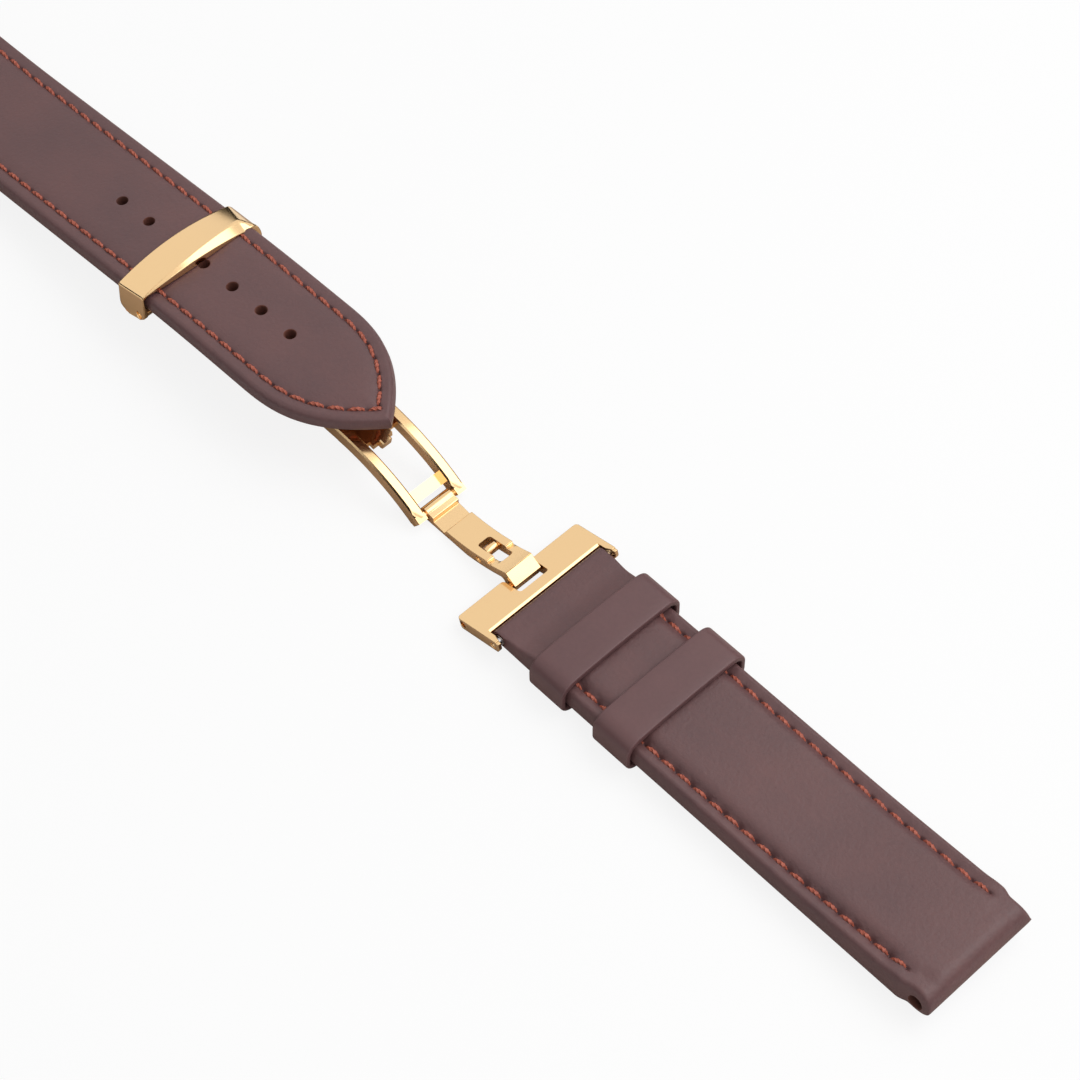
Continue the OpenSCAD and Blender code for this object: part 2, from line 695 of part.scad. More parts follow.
// Coil spring between the roots of the tips
wire_d = 0.2;
spring_turns = 14;
coil_r = root_d / 2 - wire_d / 2;
spring_half = root_out - root_len - 0.02 - wire_d / 2;
coil_gap = 2 * spring_half / spring_turns - wire_d;
echo("least gap between the spring's turns", coil_gap);
coil_slant = spring_half / (spring_turns * PI * coil_r);
function coil_ring(i) =
    let (a = i * 45, y = spring_half * (i / (4 * spring_turns) - 1))
    [for (j = [0 : 5])
        let (b = -j * 60, r = coil_r + wire_d / 2 * cos(b), h = wire_d / 2 * sin(b))
        [bar_x + r * cos(a) + h * coil_slant * sin(a), y + h, bar_z + r * sin(a) - h * coil_slant * cos(a)]];
module spring_bar_spring() {
    color(STEEL) in_place() skin([for (i = [0 : 8 * spring_turns]) coil_ring(i)]);
}

long_upper_leather();
long_padding();
long_lining();
short_upper_leather();
short_padding();
short_lining();
fixed_keeper();
free_keeper();
cover_bridge();
cover_pin();
strap_peg();
clasp_frame();
frame_pin();
fold_blade();
latch_pin();
bracket_pin();
end_bracket();
spring_bar_tube();
spring_bar_tip_left();
spring_bar_tip_right();
spring_bar_spring();
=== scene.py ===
import math

import bpy
import numpy as np
from mathutils import Matrix, Vector, kdtree


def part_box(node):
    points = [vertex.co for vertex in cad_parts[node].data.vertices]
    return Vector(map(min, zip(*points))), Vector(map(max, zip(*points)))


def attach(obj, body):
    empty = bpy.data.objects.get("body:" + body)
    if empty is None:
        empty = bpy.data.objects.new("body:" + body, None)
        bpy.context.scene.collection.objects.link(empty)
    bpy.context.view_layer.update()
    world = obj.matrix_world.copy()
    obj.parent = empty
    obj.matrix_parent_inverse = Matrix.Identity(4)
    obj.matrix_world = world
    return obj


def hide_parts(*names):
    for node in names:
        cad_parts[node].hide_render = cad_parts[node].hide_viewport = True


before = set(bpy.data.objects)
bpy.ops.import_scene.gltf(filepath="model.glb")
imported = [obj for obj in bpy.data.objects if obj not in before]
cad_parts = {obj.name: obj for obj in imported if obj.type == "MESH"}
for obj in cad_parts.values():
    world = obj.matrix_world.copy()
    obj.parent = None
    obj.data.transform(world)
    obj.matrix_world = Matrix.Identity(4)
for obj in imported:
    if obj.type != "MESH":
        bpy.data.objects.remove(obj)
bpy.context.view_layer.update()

# Lengths are in millimetres until a mesh is written, which is in metres
MM = 0.001


def box_mm(node):
    """Lowest and highest corners of a CAD node, in millimetres."""
    low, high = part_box(node)
    return low / MM, high / MM


long_low, long_high = box_mm("long_upper_leather")
_, short_high = box_mm("short_upper_leather")
tube_low, tube_high = box_mm("spring_bar_tube")

HALF_W = long_high.y
LONG_END_X = long_low.x
TIP_X = long_high.x
SHORT_END_X = short_high.x
BAR_X = (tube_low.x + tube_high.x) / 2
BAR_Z = (tube_low.z + tube_high.z) / 2
LUG_T = 4.1             # thickness of the rolls round the lug bars
STITCH_PITCH = 2.585


# Small helpers

def deselect_all():
    if bpy.context.object and bpy.context.object.mode != "OBJECT":
        bpy.ops.object.mode_set(mode="OBJECT")
    bpy.ops.object.select_all(action="DESELECT")


def pick(obj):
    """Makes obj the only selected object, and the active one."""
    deselect_all()
    obj.select_set(True)
    bpy.context.view_layer.objects.active = obj
    return obj


def apply_modifiers(obj):
    pick(obj)
    for modifier in list(obj.modifiers):
        bpy.ops.object.modifier_apply(modifier=modifier.name)
    return obj


def smooth_shade(obj, angle=40):
    pick(obj)
    bpy.ops.object.shade_smooth_by_angle(angle=math.radians(angle))
    return obj


def finish_piece(obj, body, slot, *nodes):
    """Rides on a body and stands for the CAD nodes named, which it hides; the slot is not used."""
    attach(obj, body)
    if nodes:
        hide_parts(*nodes)
    return obj


def ramp(t):
    t = np.asarray(t, float)
    return np.where(t < 0, 0, np.where(t > 1, t - 0.5, t * t / 2))


def smooth(t):
    t = np.clip(t, 0, 1)
    return t * t * (3 - 2 * t)


def bell(t):
    return np.exp(-np.square(t))


# Materials

def linear(hex_code):
    """An sRGB hex colour as linear RGBA."""
    channels = [int(hex_code[i:i + 2], 16) / 255 for i in (1, 3, 5)]
    return [c / 12.92 if c <= 0.04045 else ((c + 0.055) / 1.055) ** 2.4 for c in channels] + [1.0]


def add_node(tree, kind, inputs=None, **settings):
    """Adds a shader node with its settings; inputs are values, or output sockets to link."""
    node = tree.nodes.new("ShaderNode" + kind)
    for name, value in settings.items():
        setattr(node, name, value)
    for name, value in (inputs or {}).items():
        if isinstance(value, bpy.types.NodeSocket):
            tree.links.new(value, node.inputs[name])
        else:
            node.inputs[name].default_value = value
    return node


def empty_tree(owner):
    """The shader tree of a material or a world, with nothing in it."""
    owner.use_nodes = True
    owner.node_tree.nodes.clear()
    return owner.node_tree


def new_material(name, **surface):
    """A material with one Principled shader, whose sockets are set by name."""
    material = bpy.data.materials.new(name)
    tree = empty_tree(material)
    shader = add_node(tree, "BsdfPrincipled")
    add_node(tree, "OutputMaterial", {"Surface": shader.outputs["BSDF"]})
    for socket, value in surface.items():
        shader.inputs[socket.replace("_", " ")].default_value = value
    return material, tree, shader


def per_metre(size_mm):
    """A texture's scale for features of this size, on coordinates in metres."""
    return 1 / (size_mm * MM)


def two_tone(tree, share, dark, light, low, high):
    """A blend from dark to light while share goes from low to high."""
    tone = add_node(tree, "ValToRGB", {"Fac": share})
    for element, place, colour in zip(tone.color_ramp.elements, (low, high), (dark, light)):
        element.position = place
        element.color = linear(colour)
    return tone.outputs["Color"]


def leather(name, dark, light, grain_mm, grain_depth_mm, roughness):
    """Aniline-dyed calf: fine grain, tiny pores, and colour that drifts a little over the hide."""
    material, tree, shader = new_material(name, Roughness=roughness)
    place = add_node(tree, "TexCoord").outputs["Object"]
    drift = add_node(tree, "TexNoise", {"Vector": place, "Scale": per_metre(9), "Detail": 4.0})
    fibre = add_node(tree, "TexNoise", {"Vector": place, "Scale": per_metre(0.5), "Detail": 5.0})
    both = add_node(tree, "MixRGB", {"Fac": 0.35, 1: drift.outputs["Fac"], 2: fibre.outputs["Fac"]})
    tree.links.new(two_tone(tree, both.outputs[0], dark, light, 0.3, 0.7), shader.inputs["Base Color"])
    wander = add_node(tree, "TexNoise", {"Vector": place, "Scale": per_metre(1.2), "Detail": 2.0})
    bent = add_node(tree, "VectorMath", {0: wander.outputs["Color"], 1: (grain_mm * MM * 1.5,) * 3},
                    operation="MULTIPLY")
    moved = add_node(tree, "VectorMath", {0: place, 1: bent.outputs[0]}, operation="ADD")
    grain = add_node(tree, "TexVoronoi", {"Vector": moved.outputs[0], "Scale": per_metre(grain_mm)},
                     feature="SMOOTH_F1")
    pores = add_node(tree, "TexNoise", {"Vector": place, "Scale": per_metre(0.22), "Detail": 3.0})
    relief = add_node(tree, "MixRGB", {"Fac": 0.4, 1: grain.outputs["Distance"], 2: pores.outputs["Fac"]})
    bump = add_node(tree, "Bump", {"Height": relief.outputs[0], "Strength": 1.0,
                                   "Distance": grain_depth_mm * MM})
    tree.links.new(bump.outputs["Normal"], shader.inputs["Normal"])
    shine = add_node(tree, "MapRange", {"Value": fibre.outputs["Fac"], "To Min": roughness - 0.05,
                                        "To Max": roughness + 0.07})
    tree.links.new(shine.outputs[0], shader.inputs["Roughness"])
    return material


def polished_metal(name, colour, roughness, mark_depth_mm):
    """Plated and buffed metal: mirror-like, with faint wipe marks and an uneven gloss."""
    material, tree, shader = new_material(name, Base_Color=linear(colour), Metallic=1.0)
    place = add_node(tree, "TexCoord").outputs["Object"]
    haze = add_node(tree, "TexNoise", {"Vector": place, "Scale": per_metre(3), "Detail": 5.0})
    gloss = add_node(tree, "MapRange", {"Value": haze.outputs["Fac"], "To Min": roughness - 0.03,
                                        "To Max": roughness + 0.04})
    tree.links.new(gloss.outputs[0], shader.inputs["Roughness"])
    marks = add_node(tree, "TexNoise", {"Vector": place, "Scale": per_metre(1.5), "Detail": 3.0})
    bump = add_node(tree, "Bump", {"Height": marks.outputs["Fac"], "Strength": 1.0,
                                   "Distance": mark_depth_mm * MM})
    tree.links.new(bump.outputs["Normal"], shader.inputs["Normal"])
    return material


def twisted_thread(name, dark, light):
    """Waxed polyester thread: soft sheen, darker between its plies."""
    material, tree, shader = new_material(name, Roughness=0.55)
    place = add_node(tree, "TexCoord").outputs["Object"]
    fibres = add_node(tree, "TexNoise", {"Vector": place, "Scale": per_metre(0.25), "Detail": 3.0})
    tree.links.new(two_tone(tree, fibres.outputs["Fac"], dark, light, 0.3, 0.65), shader.inputs["Base Color"])
    bump = add_node(tree, "Bump", {"Height": fibres.outputs["Fac"], "Strength": 0.6, "Distance": 0.03 * MM})
    tree.links.new(bump.outputs["Normal"], shader.inputs["Normal"])
    return material


CALF = leather("mauve_calf", "#5e4344", "#6d4b4a", 0.5, 0.06, 0.44)
KEEPER_CALF = leather("smooth_mauve_calf", "#614445", "#6d4c4c", 0.8, 0.015, 0.42)
LINING_CALF = leather("cognac_lining_calf", "#6a3b2a", "#774631", 0.4, 0.01, 0.55)
RAW_EDGE = leather("cut_leather_edge", "#4a2a22", "#6e3d30", 0.3, 0.02, 0.8)
THREAD = twisted_thread("rust_thread", "#9c4c3c", "#bd6852")
GOLD = polished_metal("rose_gold_plate", "#f0cb98", 0.13, 0.0006)
STEEL = polished_metal("turned_steel", "#c4c4c8", 0.25, 0.001)


# Meshes made from rings of points

def rolled(name, rings, material):
    """A grid rolled through rings of points, closed round each ring and merged where points meet."""
    rings = np.asarray(rings, float)
    n_rings, n_points = rings.shape[:2]
    deselect_all()
    bpy.ops.mesh.primitive_grid_add(x_subdivisions=n_rings - 1, y_subdivisions=n_points, size=1)
    obj = bpy.context.object
    obj.name = obj.data.name = name
    flat = np.empty(len(obj.data.vertices) * 3)
    obj.data.vertices.foreach_get("co", flat)
    flat = flat.reshape(-1, 3)
    i = np.rint((flat[:, 0] + 0.5) * (n_rings - 1)).astype(int)
    j = np.rint((flat[:, 1] + 0.5) * n_points).astype(int) % n_points
    obj.data.vertices.foreach_set("co", (rings[i, j] * MM).ravel())
    bpy.ops.object.mode_set(mode="EDIT")
    bpy.ops.mesh.select_all(action="SELECT")
    bpy.ops.mesh.remove_doubles(threshold=0.002 * MM)
    bpy.ops.mesh.select_all(action="DESELECT")
    bpy.ops.mesh.select_non_manifold()
    bpy.ops.mesh.fill_holes(sides=0)
    bpy.ops.mesh.select_all(action="SELECT")
    bpy.ops.mesh.normals_make_consistent(inside=False)
    bpy.ops.object.mode_set(mode="OBJECT")
    obj.data.materials.append(material)
    return obj


def cut_away(obj, cutter):
    """Takes the cutter's shape out of obj; the cut walls keep the cutter's material."""
    cut = obj.modifiers.new("cut", "BOOLEAN")
    cut.operation = "DIFFERENCE"
    cut.object = cutter
    cut.solver = "EXACT"
    cut.material_mode = "TRANSFER"
    apply_modifiers(obj)
    bpy.data.objects.remove(cutter)
    return obj


def flared_punch(name, start, end, radius, flare, depth, sides=28):
    """A round punch from start to end that widens smoothly near both ends, by flare, over depth."""
    start, end = Vector(start), Vector(end)
    along = (end - start).normalized()
    across = along.orthogonal().normalized()
    third = along.cross(across)
    length = (end - start).length
    over = 1.0
    steps = [-over, 0]
    steps += [depth * k / 5 for k in range(1, 6)]
    steps += [length - depth * k / 5 for k in range(5, -1, -1)] + [length + over]
    rings = []
    for s in steps:
        near = min(s, length - s)
        bend = min(max(1 - near / depth, 0), 1)
        r = radius + flare * (1 - math.sqrt(1 - bend * bend))
        centre = start + along * s
        rings.append([centre + r * (math.cos(a) * across + math.sin(a) * third)
                      for a in np.linspace(0, 2 * math.pi, sides, endpoint=False)])
    return rolled(name, rings, RAW_EDGE)


# The pierced half

# Where the strap leaves the floor, over what length, and how steeply it then rises
RISE_X = LONG_END_X + 7.8
RISE_LEN = 20
RISE = 0.107
# and where it levels out again under the cover
LEVEL_X = TIP_X - 39.4
LEVEL_LEN = 14
LEVEL_RISE = 0.04
POINT_LEN = 18
POINT_POWER = 2.57
LONG_T = 2.2
LONG_CROWN = 0.35
TAPER_LEN = 38          # over which the edge thins, and how far from the lug end that is done
TAPER_END = 42
ROW_INSET_LONG = 2.25
ROW_INSET_TIP = 1.95
ROW_TO_LUG = 5.9


def long_bottom(x):
    return (RISE * RISE_LEN * ramp((x - RISE_X) / RISE_LEN)
            - (RISE - LEVEL_RISE) * LEVEL_LEN * ramp((x - LEVEL_X) / LEVEL_LEN))


def long_edge(x):
    return LONG_T + (LUG_T - LONG_T) * smooth((LONG_END_X + TAPER_END - x) / TAPER_LEN)


def point_share(x):
    """From 0 where the pointed end starts to 1 at the tip."""
    return np.clip((x - TIP_X + POINT_LEN) / POINT_LEN, 0, 1)


def long_half(x):
    return HALF_W * (1 - point_share(x) ** POINT_POWER) - lug_pinch(x - LONG_END_X)


def long_stretch(x):
    """How much further the edge is across the strap than square to its outline."""
    s = point_share(x)
    return np.sqrt(1 + (HALF_W * POINT_POWER / POINT_LEN * s ** (POINT_POWER - 1)) ** 2)


def lug_pinch(distance):
    """The roll round the lug's bar is a little narrower than the strap."""
    return 0.4 * smooth((4.6 - distance) / 1.6)


def resample(points, step):
    """Points along a line at equal steps, with their distance along it."""
    gaps = np.linalg.norm(np.diff(points, axis=0), axis=1)
    along = np.concatenate([[0], np.cumsum(gaps)])
    s = np.arange(0, along[-1], step)
    return np.stack([np.interp(s, along, points[:, k]) for k in range(2)], axis=1), s


class Row:
    """A stitch row: its points on the plan, and distances along it from the first hole."""

    def __init__(self, points, stitch_count, leaning):
        self.points, self.along = resample(np.asarray(points, float), 0.05)
        self.stitch_count = stitch_count
        self.length = stitch_count * STITCH_PITCH
        self.leaning = leaning

    def at(self, s):
        return np.array([np.interp(s, self.along, self.points[:, k]) for k in range(2)])


def rows_near(rows, x, y):
    """Distance to the nearest row and place along it, for each point, and its row's length."""
    points = np.concatenate([r.points for r in rows])
    along = np.concatenate([r.along for r in rows])
    lengths = np.concatenate([np.full(len(r.along), r.length) for r in rows])
    tree = kdtree.KDTree(len(points))
    for k, p in enumerate(points):
        tree.insert((p[0], p[1], 0), k)
    tree.balance()
    found = [tree.find((a, b, 0)) for a, b in zip(x.ravel(), y.ravel())]
    nearest = np.array([f[1] for f in found])
    d = np.array([f[2] for f in found]).reshape(x.shape)
    return d, along[nearest].reshape(x.shape), lengths[nearest].reshape(x.shape)


def stitch_relief(d, s, end, valley, valley_w):
    """Height of the leather beside a row: a valley, a thin crease, and a pucker at each hole."""
    inside = smooth((s + 0.6) / 0.6) * smooth((end + 1.6 - s) / 1.6)
    to_hole = np.abs((s + STITCH_PITCH / 2) % STITCH_PITCH - STITCH_PITCH / 2)
    crease = 0.07 * bell(d / 0.16)
    pucker = 0.10 * bell(to_hole / 0.75) * bell(d / 0.6)
    hole = 0.42 * bell(to_hole / 0.34) * bell(d / 0.2)
    return -inside * (valley * bell(d / valley_w) + crease + pucker + hole)


def long_rows():
    """The two rows of the pierced half, which meet at its tip."""
    x = np.concatenate([np.linspace(LONG_END_X, TIP_X - POINT_LEN, 60),
                        np.linspace(TIP_X - POINT_LEN, TIP_X, 400)[1:]])
    half = HALF_W * (1 - point_share(x) ** POINT_POWER)
    inset = ROW_INSET_LONG + (ROW_INSET_TIP - ROW_INSET_LONG) * smooth(point_share(x))
    slope = np.gradient(half, x)
    length = np.sqrt(1 + slope * slope)
    line = np.stack([x + inset * slope / length, half - inset / length], axis=1)
    corner_y = 0.45
    upper = line[line[:, 1] > corner_y][::-1]
    lower = line[line[:, 1] > -corner_y][::-1] * [1, -1]
    meeting = np.array([[upper[0, 0] + 0.1, corner_y]])
    lower = lower[lower[:, 1] < corner_y]
    reach = TIP_X - LONG_END_X - ROW_TO_LUG
    stitches = int((reach + 2) / STITCH_PITCH)
    return [Row(np.concatenate([meeting, upper]), stitches, 1),
            Row(np.concatenate([meeting, lower]), stitches, -1)]


def side_columns(width, stretch, row, edge_r):
    """Distances from the middle line, from the middle to the edge, closer together near the row."""
    offsets = [-1.9, -1.3, -0.9, -0.6, -0.4, -0.25, -0.13, -0.05, 0.05, 0.13, 0.25, 0.4, 0.6, 0.9]
    near = [row + o for o in offsets]
    rounding = [edge_r * math.cos(a) for a in np.linspace(0, math.pi / 2, 8)]
    outer = [width - stretch * r for r in rounding]
    inner = [near[0] * k / 9 for k in range(9)]
    return np.minimum.accumulate(np.maximum(np.array(inner + near + outer), 0)[::-1])[::-1]


def strap_skin(name, stations, half, stretch, row_y, face, back, edge_r, material):
    """A closed skin from the middle of its face round both edges, finest along the rows on its face."""
    rings = []
    for x in stations:
        width, s = float(half(x)), float(stretch(x))
        over = side_columns(width, s, max(float(row_y(x)), 0), edge_r)
        under = np.concatenate([width - s * np.array([0.0, 0.06, 0.18, 0.36, 0.6, 1.1, 1.22, 1.34, 1.8]),
                                (width - 1.9 * s) * np.linspace(0.97, 0, 7)])
        under = np.minimum.accumulate(np.maximum(under, 0))
        y = np.concatenate([over, under[1:], -under[1:-1][::-1], -over[::-1][:-1]])
        top_side = np.concatenate([np.ones(len(over)), np.zeros(len(under) - 1), np.zeros(len(under) - 2),
                                   np.ones(len(over) - 1)])
        rings.append((x, y, top_side))
    x = np.stack([np.full(len(r[1]), r[0]) for r in rings])
    y = np.stack([r[1] for r in rings])
    on_face = np.stack([r[2] for r in rings]) > 0.5
    z = np.where(on_face, face(x, y), back(x, y))
    return rolled(name, np.stack([x, y, z], axis=2), material)


def nose(distance, r):
    """Share of the full thickness at this distance inside an end rounded with radius r."""
    return np.sqrt(np.clip(1 - np.clip(1 - distance / r, 0, 1) ** 2, 0, 1))


def nose_stations(r, count):
    """Distances inside a rounded end, closer together at its edge, which stays a thin strip."""
    return r * (1 - np.cos(np.linspace(math.radians(2.5), math.pi / 2, count)))


def edge_drop(d, r, depth):
    """How far a rounded edge falls at distance d from it."""
    return depth * (1 - np.sqrt(np.clip(1 - np.clip(1 - d / r, 0, 1) ** 2, 0, 1)))


EDGE_R = 0.95       # rolled edge, on the face
UNDER_R = 0.6       # and on the underside
FACE_SHARE = 0.62   # how much of the edge's height the face's rounding takes
LINING_T = 0.6
LINING_INSET = 1.3
LINING_EDGE_R = 0.15
LINING_TO_LUG = 7
LINING_TO_TIP = 2.6
LINING_TO_BAR = 5.5
RECESS = 0.3        # in the underside, where the lining lies
RECESS_EDGE = 1.16
RECESS_STEP = 0.12
STEP = 0.28         # between stations along the strap


def lining_stations(x0, x1):
    """Stations along a lining, closer together at its rounded ends."""
    ends = np.array([0, 0.02, 0.06, 0.15])
    return np.concatenate([x0 + ends, np.arange(x0 + 0.4, x1 - 0.2, STEP), x1 - ends[::-1]])


class LongHalf:
    """The surfaces of the pierced half."""

    def __init__(self):
        self.rows = long_rows()

    def edge_distance(self, x, y):
        return np.clip((long_half(x) - np.abs(y)) / long_stretch(x), 0, None)

    def plain_face(self, x, y):
        """The face before it is stitched."""
        d = self.edge_distance(x, y)
        t = long_edge(x)
        dome = LONG_CROWN * (0.55 * smooth((d - 1.6) / 3) + 0.45 * smooth(d / HALF_W))
        thin = nose(x - LONG_END_X, LUG_T / 2)
        level = t + dome - edge_drop(d, EDGE_R, FACE_SHARE * t)
        return long_bottom(x) + (1 - thin) * LUG_T / 2 + thin * level

    def face(self, x, y):
        return self.plain_face(x, y) + stitch_relief(*rows_near(self.rows, x, y), 0.1, 0.7)

    def under(self, x, y):
        d = self.edge_distance(x, y)
        thin = nose(x - LONG_END_X, LUG_T / 2)
        recess = RECESS * smooth((x - LONG_END_X - 6.6) / 0.4) * smooth((d - RECESS_EDGE) / RECESS_STEP)
        level = edge_drop(d, UNDER_R, (1 - FACE_SHARE) * long_edge(x)) + recess
        return long_bottom(x) + (1 - thin) * LUG_T / 2 + thin * level

    def row_y(self, x):
        points = self.rows[0].points
        return np.interp(x, points[::-1, 0], points[::-1, 1])

    def make(self):
        stations = np.concatenate([LONG_END_X + nose_stations(LUG_T / 2, 12),
                                   np.arange(LONG_END_X + 2.4, TIP_X - POINT_LEN, STEP),
                                   np.arange(TIP_X - POINT_LEN, TIP_X - 1.5, 0.2),
                                   np.linspace(TIP_X - 1.5, TIP_X, 14)])
        return strap_skin("long_leather", stations, long_half, long_stretch, self.row_y,
                          self.face, self.under, EDGE_R, CALF)

    def make_lining(self):
        x0, x1 = LONG_END_X + LINING_TO_LUG, TIP_X - LINING_TO_TIP

        def half(x):
            return np.maximum(long_half(x) - LINING_INSET * long_stretch(x), 0.02)

        def face(x, y):
            d = np.clip((half(x) - np.abs(y)) / long_stretch(x), 0, None)
            ends = edge_drop(np.minimum(x - x0, x1 - x), LINING_EDGE_R, LINING_EDGE_R)
            relief = stitch_relief(*rows_near(self.rows, x, y), 0.12, 0.5)
            return long_bottom(x) + edge_drop(d, LINING_EDGE_R, LINING_EDGE_R) + ends - relief

        def back(x, y):
            return long_bottom(x) + LINING_T

        return strap_skin("long_lining_leather", lining_stations(x0, x1), half, long_stretch, self.row_y,
                          face, back, LINING_EDGE_R, LINING_CALF)


def cross_punch(name, x, z, radius, flare):
    """A punch through both edges of a strap half, for a spring bar."""
    end = HALF_W - 0.3
    return flared_punch(name, (x, -end, z), (x, end, z), radius, flare, 0.5)


# Adjustment holes: punched square to the leather

HOLE_COUNT = 7
HOLE_PITCH = 5.6
HOLE_R = 0.75
HOLE_FLARE = 0.12
HOLE_FLARE_DEPTH = 0.22
TIP_TO_HOLE = 18.9


def hole_punch(name):
    """One punch for all the adjustment holes, widened where it enters and leaves the leather."""
    punches = []
    for k in range(HOLE_COUNT):
        x = TIP_X - TIP_TO_HOLE - HOLE_PITCH * k
        z0 = float(long_bottom(x))
        z1 = z0 + float(long_edge(x)) + LONG_CROWN
        lean = (float(long_bottom(x + 0.5)) - float(long_bottom(x - 0.5))) * (z1 - z0)
        punches.append(flared_punch(f"{name}_{k}", (x, 0, z0), (x - lean, 0, z1),
                                    HOLE_R, HOLE_FLARE, HOLE_FLARE_DEPTH))
    pick(punches[0])
    for p in punches[1:]:
        p.select_set(True)
    bpy.ops.object.join()
    return bpy.context.object


# Stitches

THREAD_R = 0.3
THREAD_RINGS = 9
THREAD_SIDES = 9
PLIES = 3
PLY_DEPTH = 0.16        # share of the radius between a ply's crest and the thread's mean
TWIST = 1.1             # turns in a stitch
STITCH_START = 0.09     # share of the pitch before a stitch, and that it takes up
STITCH_SHARE = 0.82
STITCH_LEAN = 0.08      # how far the ends of a stitch stand off its row, to either side
STITCH_DIP = 0.4        # how deep they go into their holes
UNDER_THREAD = -0.16    # the threads under the linings lie this far in


def stitch_rings(row, index, surface, side, proud):
    """Rings of one stitch from hole to hole: three plies that twist, dipping in at both ends.
    side is 1 on the face and -1 underneath, and proud is how far its middle line stands out there."""
    rings = []
    for t in np.linspace(0, 1, THREAD_RINGS):
        s = (index + STITCH_START + STITCH_SHARE * t) * STITCH_PITCH
        here, there = row.at(s - 0.05), row.at(s + 0.05)
        along = (there - here) / np.linalg.norm(there - here)
        left = np.array([-along[1], along[0]])
        middle = (here + there) / 2 + left * row.leaning * STITCH_LEAN * (1 - 2 * t)
        arch = math.sin(math.pi * t) ** 0.55
        swell_r = math.sin(math.pi * min(max(t, 0.02), 0.98)) ** 0.5
        r = THREAD_R * (0.5 + 0.5 * swell_r)
        z = float(surface(middle[0], middle[1])) + side * (proud - STITCH_DIP * (1 - arch))
        ring = []
        for k in range(THREAD_SIDES):
            ply = r * (0.87 + PLY_DEPTH * math.cos(PLIES * 2 * math.pi * k / THREAD_SIDES))
            a = 2 * math.pi * (k / THREAD_SIDES + TWIST * t)
            spread = left * ply * math.cos(a)
            ring.append([middle[0] + spread[0], middle[1] + spread[1], z + ply * 0.85 * math.sin(a)])
        rings.append(ring)
    return rings


def stitch_work(name, rows, surface, side, proud):
    """All the stitches that show on one side of a half, as one piece of thread work."""
    made = [stitch_rings(row, k, surface, side, proud) for row in rows for k in range(row.stitch_count)]
    one = rolled(name, made[0], THREAD)
    order = ring_order(one, made[0])
    copies = []
    for rings in made[1:]:
        copy = bpy.data.objects.new(name, one.data.copy())
        bpy.context.scene.collection.objects.link(copy)
        points = np.asarray(rings, float).reshape(-1, 3)[order]
        copy.data.vertices.foreach_set("co", (points * MM).ravel())
        copies.append(copy)
    pick(one)
    for copy in copies:
        copy.select_set(True)
    bpy.ops.object.join()
    return smooth_shade(one, 60)


def ring_order(obj, rings):
    """Which ring point each vertex of obj was made from."""
    points = np.asarray(rings, float).reshape(-1, 3) * MM
    return [int(np.argmin(((points - np.array(v.co)) ** 2).sum(1))) for v in obj.data.vertices]


# The short half

SHORT_Z = 1.25
SHORT_T = 3.3
SHORT_EDGE_R = 0.35     # rolled edge at the fold, which widens to EDGE_R along the half
FOLD_R = 1.2
FOLD_POWER = 2.2        # 2 is a round fold; more is fuller
FOLD_SWELL = 5.2
TAPER_X = BAR_X + 44.2
ROW_SHORT_START = BAR_X + 6.5
ROW_SHORT_END = SHORT_END_X - ROW_TO_LUG + 0.9


def swell(x):
    return smooth((x - BAR_X) / FOLD_SWELL)


def short_bottom_line(x):
    s = swell(x)
    return (BAR_Z - FOLD_R) * (1 - s) + SHORT_Z * s


def short_top_line(x):
    s = swell(x)
    full = SHORT_Z + SHORT_T + (LUG_T - SHORT_T) * smooth((x - TAPER_X) / (SHORT_END_X - TAPER_X - 3))
    return (BAR_Z + FOLD_R) * (1 - s) + full * s


def short_half(x):
    bar_side = 0.02 * (1 - nose(x - BAR_X + FOLD_R + 0.3, 1.8))
    return HALF_W - bar_side - lug_pinch(SHORT_END_X - x)


